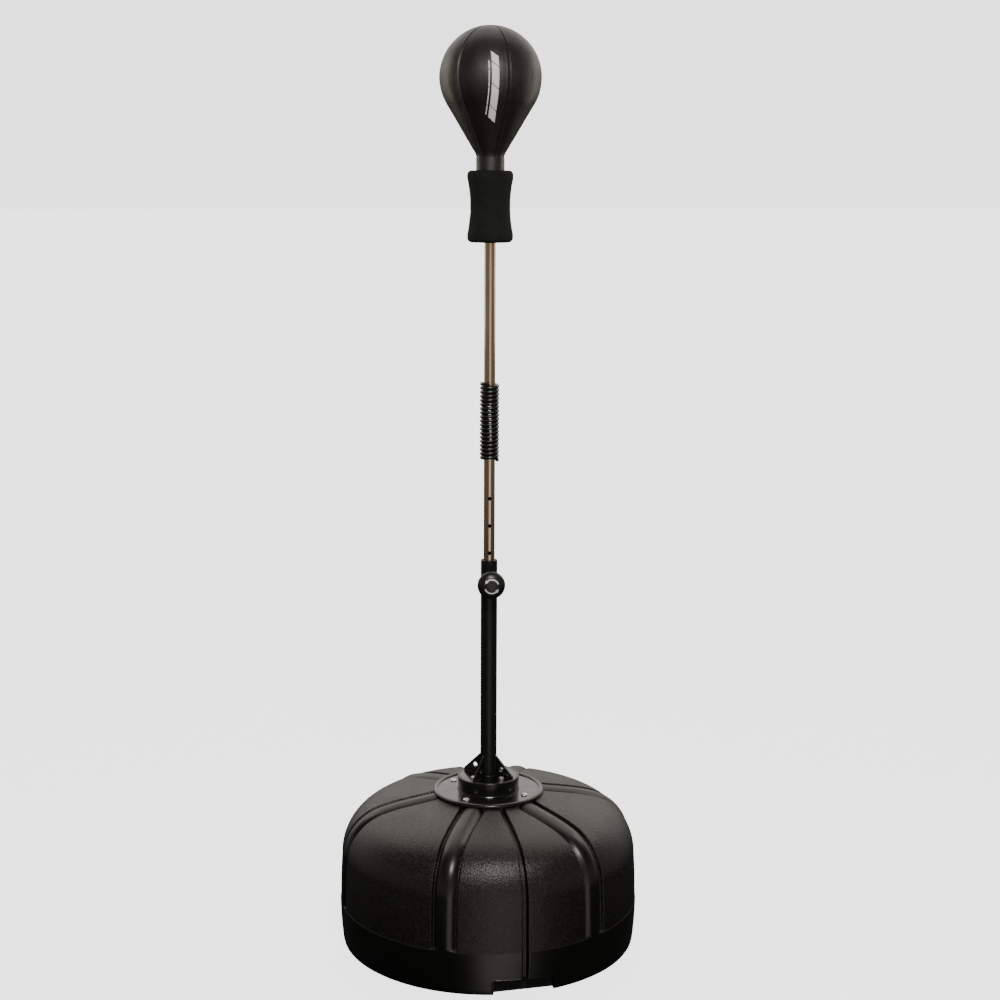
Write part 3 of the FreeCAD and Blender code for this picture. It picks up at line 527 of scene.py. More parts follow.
def leather():
    """Satin coated leather with a fine pebble grain, creases by the seams, painted shade darkening the seam
    grooves and a slight sheen.
    """
    p = Paint("leather", (0.012, 0.0115, 0.0105), 0.42, Specular_IOR_Level=0.5, Coat_Weight=0.15,
              Coat_Roughness=0.3)
    seam = p.attribute("seam")
    pebbles = p.cells(560.0, "DISTANCE_TO_EDGE")
    fine = p.noise(1300.0, 3.0, 0.55)
    broad = p.noise(22.0, 4.0, 0.6)
    # Painted shade: the colour darkens along each seam's groove, following its depth.
    p.set("Base Color", p.mix(seam, (0.012, 0.0115, 0.0105), (0.005, 0.005, 0.0045)))
    p.set("Roughness", p.math("ADD", p.ramp(broad, 0.3, 0.7, 0.36, 0.47), p.math("MULTIPLY", seam, 0.15)))
    p.bump(p.ramp(pebbles, 0.0, 0.12), 0.28, 0.00025)
    p.bump(fine, 0.12, 0.0002)
    p.bump(p.noise(70.0, 3.0, 0.5), 0.10, 0.0012)
    return p.material


def print_white():
    """Slightly worn white print."""
    p = Paint("print_white", (0.78, 0.78, 0.77), 0.45)
    worn = p.noise(260.0, 5.0, 0.7)
    p.set("Base Color", p.mix(p.ramp(worn, 0.60, 0.74), (0.80, 0.80, 0.79), (0.55, 0.55, 0.54)))
    p.bump(p.noise(900.0, 2.0), 0.1, 0.0002)
    return p.material


# ---- base ----------------------------------------------------------------------------------------

TUBE_WALL = 1.5 * MM
TUB_RADIUS = span("base_tub")[2]
FLANGE_LOW, FLANGE_HIGH, FLANGE_RADIUS = span("mounting_flange")
FLANGE_FACE = FLANGE_LOW + 3 * MM
RIB_ANGLES = [math.radians(a) for a in (-150, -90, -30, 30, 90, 150)]
SEAM_ANGLES = [0.0, math.pi]
STEP_HEIGHT = 79 * MM
RIB_HALF = 20 * MM
RIB_GROOVE = 6.6 * MM
RIB_RISE = 1.2 * MM
SEAM_GROOVE = 10 * MM
RECESS_HALF, RECESS_BACK, RECESS_TOP = 54.5 * MM, -251 * MM, 29 * MM


def tub_outline():
    """Radius and height of the outer wall, from the floor's edge to the flange's seat."""
    widest = 83 * MM
    foot_loss = 5 * MM
    shoulder_z = 165 * MM
    shoulder_loss = 3 * MM
    centre_r, centre_z, arc = 175.5 * MM, 165.6 * MM, 96.5 * MM
    crown_r, crown_z = 205 * MM, 257.5 * MM
    end_r, end_z = 98 * MM, 279 * MM
    edge = 4 * MM
    out = []
    for k in range(5):
        a = math.pi / 2 * k / 4
        out.append((TUB_RADIUS - foot_loss - edge + edge * math.sin(a), edge - edge * math.cos(a)))
    coarse = np.linspace(edge + 3 * MM, shoulder_z, 50)
    fine = STEP_HEIGHT + np.arange(-3.0, 7.1, 0.5) * MM
    heights = [z for z in coarse if z < fine[0] - 1 * MM or z > fine[-1] + 1 * MM] + list(fine)
    for z in sorted(heights):
        loss = foot_loss * ((widest - z) / widest) ** 2 if z < widest else (
            shoulder_loss * ((z - widest) / (shoulder_z - widest)) ** 2)
        out.append((TUB_RADIUS - loss, z))
    last = math.atan2(crown_z - centre_z, crown_r - centre_r)
    for a in np.linspace(0.02, last, 40)[1:]:
        out.append((centre_r + arc * math.cos(a), centre_z + arc * math.sin(a)))
    slope = math.tan(last - math.pi / 2)
    for t in np.linspace(0.0, 1.0, 28)[1:]:
        r = crown_r + (end_r - crown_r) * t
        straight = crown_z + (end_z - crown_z) * t
        lift = ((crown_r - end_r) * -slope - (end_z - crown_z)) * t * (1 - t) ** 2
        out.append((r, straight + lift))
    line = np.array(out)
    first = 5 + len(heights)
    for _ in range(2):
        line[first:-2] = (line[first - 1:-3] + 2 * line[first:-2] + line[first + 1:-1]) / 4
    return line


def smooth_step(x, low, high):
    """0 below low, 1 above high and a smooth rise between."""
    t = min(1.0, max(0.0, (x - low) / (high - low)))
    return t * t * (3 - 2 * t)


def rib_depth(offset):
    """How deep the surface lies at an offset across a rib: a half-round strip between two grooves."""
    d = abs(offset)
    if d <= RIB_HALF:
        return (RIB_GROOVE + RIB_RISE) * (d / RIB_HALF) ** 2.3 - RIB_RISE
    return RIB_GROOVE * (1 - smooth_step(d, RIB_HALF + 1.4 * MM, RIB_HALF + 4.4 * MM))


def seam_depth(offset):
    """How deep the surface lies at an offset across a seam: a flat-bottomed groove."""
    return SEAM_GROOVE * (1 - smooth_step(abs(offset), 3.2 * MM, 6.2 * MM))


RIB_OFFSETS = [k * MM for k in (
    0, 2.5, 5, 7.5, 10, 12, 14, 15.5, 17, 18, 19, 19.6, 20, 20.4, 20.9, 21.4, 21.9, 22.4, 22.9, 23.4, 23.9,
    24.4, 25, 27)]
SEAM_OFFSETS = [k * MM for k in (0, 1.8, 2.9, 3.4, 3.9, 4.4, 4.9, 5.4, 5.9, 6.4, 7.2, 9)]


def mirrored(offsets):
    """The offsets on both sides of 0, in order."""
    return [-d for d in reversed(offsets[1:])] + list(offsets)


def tub_mesh():
    """The tub's skin: columns follow the parallel ribs and seams, rows follow the wall's outline."""
    features = [(a, mirrored(RIB_OFFSETS), rib_depth, True) for a in RIB_ANGLES]
    features += [(a, mirrored(SEAM_OFFSETS), seam_depth, False) for a in SEAM_ANGLES]
    features.sort(key=lambda f: f[0])
    outline = tub_outline()
    normals = np.gradient(outline, axis=0)
    normals = np.stack([normals[:, 1], -normals[:, 0]], 1)
    normals /= np.linalg.norm(normals, axis=1)[:, None]
    fill_step = math.radians(1.3)
    fills = []
    for i, (angle, offsets, _, _) in enumerate(features):
        after = features[(i + 1) % len(features)]
        turn = after[0] - angle + (2 * math.pi if i == len(features) - 1 else 0.0)
        gap = turn - (offsets[-1] - after[1][0]) / TUB_RADIUS
        fills.append((turn, max(2, round(gap / fill_step))))
    points, smooth = [], []
    width = 0
    for (r, z), (nr, nz) in zip(outline, normals):
        ring = []
        above_step = smooth_step(z, STEP_HEIGHT - 0.6 * MM, STEP_HEIGHT + 0.6 * MM)
        rib_on = smooth_step(z, STEP_HEIGHT + 1 * MM, STEP_HEIGHT + 3.5 * MM)
        seam_on = smooth_step(z, 10 * MM, 18 * MM)
        for i, (angle, offsets, depth, is_rib) in enumerate(features):
            strength = rib_on if is_rib else seam_on
            for d in offsets:
                on_rib = is_rib and abs(d) < 18 * MM
                ring.append((angle + math.asin(d / r), depth(d) * strength, 1.0 if on_rib else 0.0))
            turn, count = fills[i]
            first = angle + math.asin(offsets[-1] / r)
            after = features[(i + 1) % len(features)]
            last = angle + turn + math.asin(after[1][0] / r)
            for k in range(1, count):
                ring.append((first + (last - first) * k / count, 0.0, 0.0))
        width = len(ring)
        for angle, depth, soft in ring:
            wave = noise.noise(Vector((math.cos(angle) * 2.2, math.sin(angle) * 2.2, z * 9.0)))
            sink = depth + 1.1 * MM * above_step * (1 - soft) + 0.35 * MM * wave
            rr, zz = r - nr * sink, z - nz * sink
            points.append((rr * math.sin(angle), -rr * math.cos(angle), zz if z > 5 * MM else z))
            smooth.append(max(soft, 1.0 - above_step))
    rows = len(outline)
    faces = closed_rows(rows, width)
    faces.append(tuple(reversed(range(width))))
    top = len(points)
    seat_z = FLANGE_LOW - 0.2 * MM
    for k in range(width):
        x, y, _ = points[(rows - 1) * width + k]
        points.append((x * 0.985, y * 0.985, seat_z))
        smooth.append(1.0)
    for k in range(width):
        k1 = (k + 1) % width
        faces.append(((rows - 1) * width + k, (rows - 1) * width + k1, top + k1, top + k))
    faces.append(tuple(range(top, top + width)))
    obj = make_mesh("tub", points, faces, 50.0)
    mark_points(obj, "smooth", smooth)
    return recalc(obj)


def hand_recess_tool():
    """A box with rounded edges that leaves the finger recess at the foot."""
    past = 20 * MM
    low = Vector((-RECESS_HALF, -TUB_RADIUS - past, -past))
    high = Vector((RECESS_HALF, RECESS_BACK, RECESS_TOP))
    corners = [(low.x, low.z, 0.0), (high.x, low.z, 0.0), (high.x, high.z, 4 * MM), (low.x, high.z, 4 * MM)]
    outline = rounded(corners, 4)
    count = len(outline)
    points = [(p.x, low.y, p.y) for p in outline] + [(p.x, high.y, p.y) for p in outline]
    faces = [tuple(range(count)), tuple(reversed(range(count, 2 * count)))]
    faces += [(k, (k + 1) % count, count + (k + 1) % count, count + k) for k in range(count)]
    return recalc(make_mesh("recess_tool", points, faces))


def filler_tool(cap_low, cap_high):
    """The well round the filler neck, with the neck's bore."""
    radius = (cap_high.x - cap_low.x) / 2.0
    floor = cap_low.z - 3 * MM
    well, neck = radius + 3.5 * MM, radius - 4.5 * MM
    bore, neck_top = neck - 2.5 * MM, cap_high.z - 4 * MM
    out, deep = cap_high.z + 40 * MM, floor - 24 * MM
    tool = lathe("filler_tool", [
        (0.0, deep, 0.0), (bore, deep, 0.0), (bore, neck_top, 0.6 * MM), (neck, neck_top, 0.6 * MM),
        (neck, floor, 1.2 * MM), (well, floor, 1.6 * MM), (well, out, 0.0), (0.0, out, 0.0)], 64, 3)
    return moved(tool, Matrix.Translation((0.0, (cap_low.y + cap_high.y) / 2.0, 0.0)))


def in_recess(point):
    """Whether a point of the tub is on the recess's back or its inner edges, where the tub's colour holds
    painted shade.
    """
    near = 1 * MM
    low_enough = abs(point.x) < RECESS_HALF + near and point.z < RECESS_TOP + near
    return low_enough and RECESS_BACK - 2 * near < point.y < -200 * MM


def make_base(m):
    """The tub, and the filler cap in its well."""
    cap_low, cap_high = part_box("filler_cap")
    tub = cut_away(tub_mesh(), hand_recess_tool(), filler_tool(cap_low, cap_high))
    sharpen(tub, 50.0)
    # Painted shade in the hand recess: 1 on its back, fading out towards its opening.
    mark_points(tub, "painted_recess_shade", [float(in_recess(v.co)) for v in tub.data.vertices])
    finish_piece(tub, "base", m["tub"], ["base_tub"])

    lip, top, radius = cap_low.z, cap_high.z, (cap_high.x - cap_low.x) / 2.0
    inner = radius - 4.1 * MM
    cap = lathe("cap", [
        (0.0, top - 4 * MM, 0.0), (inner, top - 4 * MM, 0.3 * MM), (inner, lip, 0.3 * MM),
        (radius, lip, 0.5 * MM), (radius, top, 1.5 * MM), (radius * 0.72, top, 0.4 * MM),
        (radius * 0.68, top - 1 * MM, 0.4 * MM), (0.0, top - 1 * MM, 0.0)], 144, 4)
    grip_teeth, grip_depth = 36, 0.035
    for v in cap.data.vertices:
        r = math.hypot(v.co.x, v.co.y)
        if r > radius * 0.93 and lip + 1 * MM < v.co.z < top - 1 * MM:
            wave = 0.5 + 0.5 * math.cos(grip_teeth * math.atan2(v.co.y, v.co.x))
            v.co.x *= 1 - grip_depth * wave
            v.co.y *= 1 - grip_depth * wave
    moved(cap, Matrix.Translation((0.0, (cap_low.y + cap_high.y) / 2.0, 0.0)))
    finish_piece(cap, "cap", m["tub"], ["filler_cap"])


def make_flange(m):
    """The flange with its round rim, the hub on it and the foot plate let into the hub."""
    r, low, high, face = FLANGE_RADIUS, FLANGE_LOW, FLANGE_HIGH, FLANGE_FACE
    half, side = 4.6 * MM, low + 2.2 * MM
    corners = [(0.0, low, 0.0), (r - 0.6 * MM, low, 0.0), (r, low + 0.6 * MM, 0.0)]
    for a in np.linspace(0.0, math.pi, 19):
        foot = side if a < math.pi / 2 else face
        corners.append((r - half + half * math.cos(a), foot + (high - foot) * math.sin(a), 0.0))
    corners += [(r - 2 * half - 1 * MM, face, 0.0), (0.0, face, 0.0)]
    flange = lathe("flange", corners, 160, 7)
    finish_piece(flange, "base", m["gloss"], ["mounting_flange"])

    low, high, r = span("hub_cup")
    outer, wall = 56.3 * MM, 3 * MM
    inner = outer - wall
    deck = span("foot_plate")[0]
    hub = lathe("hub", [
        (inner, low, 0.3 * MM), (r, low, 0.5 * MM), (outer, low + 2.2 * MM, 1.5 * MM),
        (outer, high, 1.3 * MM), (inner, high, 0.8 * MM), (inner, deck, 0.4 * MM),
        (0.0, deck, 0.0), (0.0, deck - wall, 0.0), (inner, deck - wall, 0.3 * MM)], 160, 6)
    finish_piece(hub, "base", m["gloss"], ["hub_cup"])

    low, high, r = span("foot_plate")
    corners = [(0.0, low, 0.0), (r, low, 0.3 * MM), (r, high, 0.9 * MM), (0.0, high, 0.0)]
    disc = lathe("plate", corners, 160, 4)
    finish_piece(disc, "base", m["gloss"], ["foot_plate"])


def cross_recess(z, size, depth):
    """Two crossed tapering bars that cut a cross recess downwards from z."""
    tools = []
    for turn in (0.0, math.pi / 2):
        half, thin, taper = size / 2, size * 0.16, 0.55
        points = []
        for zz, k in ((z + depth, 1.0), (z - depth, taper)):
            points += [(x * half * k, y * thin * k, zz) for x, y in ((-1, -1), (1, -1), (1, 1), (-1, 1))]
        faces = [(0, 1, 2, 3), (7, 6, 5, 4), (0, 4, 5, 1), (1, 5, 6, 2), (2, 6, 7, 3), (3, 7, 4, 0)]
        bar = recalc(make_mesh("bar", points, faces))
        tools.append(moved(bar, Matrix.Rotation(turn, 4, "Z")))
    return tools


def make_screws(m):
    """Four pan head screws on the flange."""
    low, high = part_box("flange_screws")
    face = FLANGE_FACE
    head, shank, circle = 6 * MM, 2.9 * MM, 76.5 * MM
    parts = []
    for k in range(4):
        angle = math.radians(45 + 90 * k)
        screw = lathe("screw", [
            (0.0, low.z, 0.0), (shank, low.z, 0.3 * MM), (shank, face, 0.0), (head, face, 0.2 * MM),
            (head, face + 1.5 * MM, 1.2 * MM), (head * 0.55, high.z, 1.5 * MM), (0.0, high.z, 0.0)], 40, 4)
        cut_away(screw, *cross_recess(high.z, 4.4 * MM, 1.2 * MM))
        moved(screw, Matrix.Rotation(0.4 + 1.1 * k, 4, "Z"))
        parts.append(moved(screw, on_circle(circle, angle)))
    screws = joined("screws", parts)
    finish_piece(screws, "base", m["zinc"], ["flange_screws"])


def hex_head(low, high, across):
    """A six-sided bolt head between two heights, with a bevelled top."""
    bevel = 0.5 * MM
    points = []
    for z, s in ((low, 1.0), (high - bevel, 1.0), (high, 1.0 - bevel / across)):
        points += [(across * s * math.cos(math.pi / 3 * i), across * s * math.sin(math.pi / 3 * i), z)
                   for i in range(6)]
    faces = closed_rows(3, 6) + [tuple(reversed(range(6))), tuple(range(12, 18))]
    return recalc(make_mesh("head", points, faces, 20.0))


def make_bolts(m):
    """Four hexagon bolts on the foot plate, between the gussets."""
    low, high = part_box("foot_bolts")
    deck = span("foot_plate")[1]
    circle, across, shank = 36 * MM, 5.1 * MM, 2.9 * MM
    parts = []
    for k in range(4):
        corners = [(0.0, low.z, 0.0), (shank, low.z, 0.3 * MM), (shank, deck, 0.0), (0.0, deck, 0.0)]
        pieces = lathe("shank", corners, 24, 2), hex_head(deck + 0.05 * MM, high.z, across)
        place = on_circle(circle, math.radians(27.5 + 90 * k)) @ Matrix.Rotation(0.3 * k, 4, "Z")
        parts += [moved(piece, place) for piece in pieces]
    bolts = joined("bolts", parts, 20.0)
    finish_piece(bolts, "base", m["zinc"], ["foot_bolts"])


def bead(name, path, radius, ripple):
    """A weld bead with overlapping ripples along a path."""
    sides = 12
    bar = tube_along(name, path, radius, sides)
    for i, v in enumerate(bar.data.vertices):
        ring = i // sides
        centre = Vector(path[min(max(ring - 1, 0), len(path) - 1)])
        swell = 1.0 + 0.07 * math.sin(ring * ripple)
        v.co = centre + (v.co - centre) * swell
    bar.data.update()
    return bar


def make_post(m):
    """The post, its four pierced gussets and the weld beads."""
    low, high, r = span("post_tube")
    inner = r - TUBE_WALL
    corners = [(inner, low, 0.0), (r, low, 0.0), (r, high, 0.5 * MM), (inner, high, 0.3 * MM)]
    post = lathe("post", corners, 96, 4)
    finish_piece(post, "base", m["satin"], ["post_tube"])

    plate_top = span("foot_plate")[1]
    half_t, reach, toe, rise = 1.75 * MM, 52 * MM, 5 * MM, 41 * MM
    hole_r, hole_x, hole_z = 4.5 * MM, 28 * MM, 14.5 * MM
    ring = [(hole_x + hole_r * math.cos(-a), hole_z + hole_r * math.sin(-a))
            for a in np.linspace(0, 2 * math.pi, 40, endpoint=False)]
    for number, degrees in enumerate((-135, -45, 45, 135), start=1):
        outline = rounded([(r - 0.1 * MM, 0.0, 0.0), (reach, 0.0, 0.0), (reach, toe, 0.8 * MM),
                           (r - 0.1 * MM, rise, 0.3 * MM)], 3)
        web = plate("web_%d" % number, [(p.x, p.y) for p in outline], [ring], 2 * half_t, 0.35 * MM)
        beads = []
        for side in (-1, 1):
            steps = np.linspace(0, 1, 60)
            y = side * (half_t + 0.5 * MM)
            up = [(r + 0.5 * MM, y, 2 * MM + t * (rise - 5 * MM)) for t in steps]
            along = [(r + 1 * MM + t * (reach - r - 3 * MM), y, 0.4 * MM) for t in steps]
            beads += [bead("bead", path, 1.1 * MM, 1.1) for path in (up, along)]
        whole = joined("gusset_web_%d" % number, [web] + beads, 35.0)
        turn = Matrix.Rotation(math.radians(degrees), 4, "Z")
        moved(whole, Matrix.Translation((0.0, 0.0, plate_top)) @ turn)
        finish_piece(whole, "base", m["gloss"], ["gusset_%d" % number])

    weld_r, weld_z = r + 0.6 * MM, plate_top + 0.5 * MM
    round_post = np.linspace(0, 2 * math.pi, 160)
    ring_path = [(weld_r * math.cos(a), weld_r * math.sin(a), weld_z) for a in round_post]
    foot = bead("post_weld", ring_path, 1.4 * MM, 1.3)
    finish_piece(foot, "base", m["gloss"])


# ---- lock ----------------------------------------------------------------------------------------

LOCK_TURN = math.radians(-9.0)
ALONG_LOCK = Matrix.Rotation(LOCK_TURN, 4, "Z") @ Matrix.Rotation(math.pi / 2.0, 4, "X")


def make_lock(m):
    """The knob with its mark, and the boss on the post. Both are turned up along Z, then aimed."""
    low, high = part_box("lock_knob")
    axis_z, r = (low.z + high.z) / 2.0, (high.z - low.z) / 2.0
    back, face = 34 * MM, 63 * MM
    turn = Matrix.Translation((0.0, 0.0, axis_z)) @ ALONG_LOCK
    dome = lathe("knob", knob_corners(back, face, r), 128, 8)
    moved(dome, turn)
    finish_piece(dome, "knob", m["knob"], ["lock_knob"])

    mark = joined("knob_mark", [arrow_on_dome(face, r, k * math.pi) for k in range(2)])
    moved(mark, turn)
    finish_piece(mark, "knob", m["print"])

    low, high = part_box("lock_boss")
    bore, r, root, end = 6.1 * MM, (high.z - low.z) / 2.0, 13.2 * MM, 26 * MM
    corners = [(bore, root, 0.0), (r, root, 0.0), (r, end, 0.8 * MM), (bore, end, 0.3 * MM)]
    boss = lathe("boss", corners, 64, 4)
    moved(boss, turn)
    finish_piece(boss, "base", m["gloss"], ["lock_boss"])


def knob_corners(back, face, r):
    """Stem, flared back, rounded rim and domed face, as radius and distance from the pole's axis."""
    bore, stem = 5.6 * MM, 9.5 * MM
    widest = back + 16 * MM
    flare = widest - back - 4.5 * MM
    corners = [(bore, back, 0.3 * MM), (stem, back, 0.6 * MM), (stem, back + 4 * MM, 3 * MM)]
    for a in np.linspace(0.0, math.pi / 2, 11)[1:]:
        corners.append((stem + (r - stem) * math.sin(a), widest - flare * math.cos(a), 0.0))
    for a in np.linspace(0.0, math.pi / 2, 17)[1:-1]:
        corners.append((r * math.cos(a), widest + (face - widest) * math.sin(a), 0.0))
    corners.append((0.0, face, 0.0))
    corners += [(0.0, face - 11 * MM, 0.0), (bore, face - 11 * MM, 0.0)]
    return corners


def arrow_on_dome(face, r, turn):
    """A curved arrow on the knob's face: a band and its head, lying just above the dome."""
    widest = face - 13 * MM
    middle, half = 12.5 * MM, 1.25 * MM
    lift = 0.12 * MM

    def on_dome(radius, angle):
        z = widest + (face - widest) * math.sqrt(max(0.0, 1 - (radius / r) ** 2)) + lift
        return (radius * math.cos(angle), radius * math.sin(angle), z)

    points, faces = [], []
    across = 4
    stations = [(a, half) for a in np.linspace(0.35, 2.25, 30)] + [
        (a, 3.1 * MM * (2.78 - a) / 0.5) for a in np.linspace(2.28, 2.78, 9)]
    for a, h in stations:
        for k in range(across + 1):
            points.append(on_dome(middle + h * (2.0 * k / across - 1.0), a + turn))
    for i in range(len(stations) - 1):
        for k in range(across):
            a = i * (across + 1) + k
            faces.append((a, a + 1, a + across + 2, a + across + 1))
    top = make_mesh("arrow", points, faces)
    return thickened(top, 0.25 * MM)


def thickened(obj, depth):
    """Gives an open sheet a thickness below its surface."""
    solid = obj.modifiers.new("solid", "SOLIDIFY")
    solid.thickness = depth
    solid.offset = -1.0 if obj.data.polygons[0].normal.y < 0.5 else 1.0
    mesh = evaluated_mesh(obj)
    obj.modifiers.clear()
    obj.data = mesh
    return recalc(obj)


# ---- tubes and spring ----------------------------------------------------------------------------


def pierced_tube(name, node, holes):
    """A tube with holes on the lock's side. Shading follows the true round wall."""
    low, high, r = span(node)
    inner, hole_r, reach = r - TUBE_WALL, 3.5 * MM, 30 * MM
    corners = [(inner, low, 0.2 * MM), (r, low, 0.3 * MM), (r, high, 0.3 * MM), (inner, high, 0.2 * MM)]
    tube = lathe(name, corners, 96, 2)
    corners = [(0.0, 0.0, 0.0), (hole_r, 0.0, 0.0), (hole_r, reach, 0.0), (0.0, reach, 0.0)]
    tools = []
    for z in holes:
        drill = lathe("drill", corners, 40, 1)
        tools.append(moved(drill, Matrix.Translation((0.0, 0.0, z)) @ ALONG_LOCK))
    if tools:
        cut_away(tube, *tools)
    return round_normals(sharpen(tube, 30.0), r)


def round_normals(obj, radius):
    """Sets the outer wall's normals to point straight away from the Z axis."""
    mesh = obj.data
    normals = [Vector(c.vector) for c in mesh.corner_normals]
    for face in mesh.polygons:
        reach = min(math.hypot(*mesh.vertices[i].co.xy) for i in face.vertices)
        if reach < radius - 0.05 * MM or abs(face.normal.z) > 0.3:
            continue
        for loop in face.loop_indices:
            co = mesh.vertices[mesh.loops[loop].vertex_index].co
            normals[loop] = Vector((co.x, co.y, 0.0)).normalized()
    mesh.normals_split_custom_set(normals)
    return obj


def make_tubes(m):
    """The sliding tube with its row of height holes, and the tube above the spring."""
    first, pitch, count = 579 * MM, 50 * MM, 6
    lower = pierced_tube("lower_tube", "adjust_tube", [first + pitch * k for k in range(count)])
    finish_piece(lower, "inner_pole", m["bronze"], ["adjust_tube"])
    upper = pierced_tube("top_tube", "upper_tube", [])
    finish_piece(upper, "upper_pole", m["bronze"], ["upper_tube"])


def make_spring(m):
    """A close-wound right-handed coil in two halves."""
    low, high = 895 * MM, 1040 * MM
    wire = 3.4 * MM
    mean = 17.4 * MM - wire
    pitch = 7.36 * MM
    turns = (high - low - 2 * wire) / pitch
    per_turn = 56
    count = int(turns * per_turn)
    middle = count // 2

    def at(step):
        angle = 2 * math.pi * turns * step / count
        lean = -math.pi / 2 + CAMERA_SIDE + angle - 2 * math.pi * turns
        z = low + wire + pitch * turns * step / count
        return (mean * math.cos(lean), mean * math.sin(lean), z)

    pivots = [Vector(j["pos_m"]) for j in frame["joints"] if j["name"].startswith("flex")]
    halves = (("spring_lower", range(0, middle + 1), "inner_pole", "spring", pivots[0]),
              ("spring_upper", range(middle, count + 1), "spring", "upper_pole", pivots[1]))
    for name, steps, below, above, pivot in halves:
        coil = tube_along(name, [at(s) for s in steps], wire, 22)
        finish_piece(coil, None, m["spring"], ["coil_spring"])
        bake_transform(coil)


# ---- foam and bag --------------------------------------------------------------------------------

def quarter(steps=9):
    """Even angles over a quarter turn."""
    return np.linspace(0, math.pi / 2, steps)


def make_foam(m):
    """The waisted foam sleeve, with a slightly lumpy skin."""
    low, high, r = 1284 * MM, 1408 * MM, 40.2 * MM
    turn, waist = 7.5 * MM, 5.2 * MM
    inner = 10.2 * MM
    line = [(inner, low), (r * 0.5, low), (r - turn - 3 * MM, low)]
    line += [(r - turn + turn * math.sin(a), low + turn - turn * math.cos(a)) for a in quarter()]
    rows = 60
    for k in range(1, rows):
        z = low + turn + (high - low - 2 * turn) * k / rows
        t = min(1.0, abs(z - (low + high) / 2) / ((high - low) / 2 - 14 * MM))
        line.append((r - waist * (1 - t * t), z))
    line += [(r - turn + turn * math.cos(a), high - turn + turn * math.sin(a)) for a in quarter()]
    line += [(r - turn - 3 * MM, high), (r * 0.5, high), (inner, high)]
    pad = lathe("foam_sleeve", [(x, z, 0.0) for x, z in line], 160, 1, 60.0)
    for v in pad.data.vertices:
        radius = math.hypot(v.co.x, v.co.y)
        if radius < r * 0.6:
            continue
        lump = noise.noise(v.co * 55.0) * 0.35 * MM + noise.noise(v.co * 240.0) * 0.16 * MM
        v.co.x *= 1 + lump / radius
        v.co.y *= 1 + lump / radius
    finish_piece(pad, "upper_pole", m["foam"], ["foam_pad"])


BAG_LOW, BAG_HIGH, BAG_RADIUS = span("bag_cover")
BAG_MIDDLE = BAG_HIGH - BAG_RADIUS
NECK_RADIUS = 24.2 * MM
SEAMS = 6
SEAM_START = math.radians(7.5)


def bag_outline():
    """Radius and height from the neck to the crown: a short neck, a cone and most of a sphere."""
    cone_angle = math.radians(29.4)
    cone = (BAG_RADIUS * math.cos(cone_angle), BAG_MIDDLE - BAG_RADIUS * math.sin(cone_angle))
    throat = (31.5 * MM, 1445.5 * MM)
    neck_top = 1430 * MM
    line = [(NECK_RADIUS, z) for z in np.linspace(BAG_LOW + 0.5 * MM, neck_top, 8)]
    bend = (NECK_RADIUS, 1434.5 * MM)
    start = (NECK_RADIUS, neck_top)
    for t in np.linspace(0, 1, 12)[1:]:
        shares = ((1 - t) ** 2, 2 * t * (1 - t), t * t)
        line.append(tuple(sum(s * p[i] for s, p in zip(shares, (start, bend, throat))) for i in range(2)))
    for t in np.linspace(0, 1, 34)[1:]:
        line.append((throat[0] + (cone[0] - throat[0]) * t, throat[1] + (cone[1] - throat[1]) * t))
    for a in np.linspace(-cone_angle, math.pi / 2, 90)[1:-1]:
        line.append((BAG_RADIUS * math.cos(a), BAG_MIDDLE + BAG_RADIUS * math.sin(a)))
    return line


def bag_point(r, z, angle):
    """A point on the sewn bag, and how much it belongs to a seam's groove, which sets the painted shade
    there.
    """
    spacing = 2 * math.pi / SEAMS
    away = (angle - SEAM_START + spacing / 2) % spacing - spacing / 2
    across = abs(away) * r
    reach = smooth_step(r, 14 * MM, 34 * MM)
    dip = math.exp(-(across / (1.1 * MM)) ** 2) * 1.5 * MM
    lip = math.exp(-((across - 3.0 * MM) / (1.5 * MM)) ** 2) * 0.45 * MM
    slope = math.exp(-across / (9 * MM)) * 0.9 * MM
    belly = math.sin(math.pi * (0.5 + away / spacing)) * 0.9 * MM * r / BAG_RADIUS
    pucker = math.sin(z / (3.1 * MM)) * math.exp(-((across - 5 * MM) / (3.5 * MM)) ** 2) * 0.13 * MM
    lump = noise.noise(Vector((math.sin(angle) * 3.0, math.cos(angle) * 3.0, z * 28.0))) * 0.5 * MM
    grow = (lip - dip - slope + belly + pucker) * reach + lump * reach
    rr = r + grow
    return (rr * math.sin(angle), -rr * math.cos(angle), z), min(1.0, dip / (1.5 * MM)) * reach


def bag_columns():
    """Angles round the bag, closer together by the seams."""
    spacing = 2 * math.pi / SEAMS
    shares = [0.0, 0.004, 0.008, 0.013, 0.019, 0.026, 0.035, 0.047, 0.062, 0.085, 0.12]
    shares += list(np.linspace(0.16, 0.5, 12))
    shares += [1 - s for s in reversed(shares[1:-1])]
    return [SEAM_START + spacing * (k + s) for k in range(SEAMS) for s in shares]


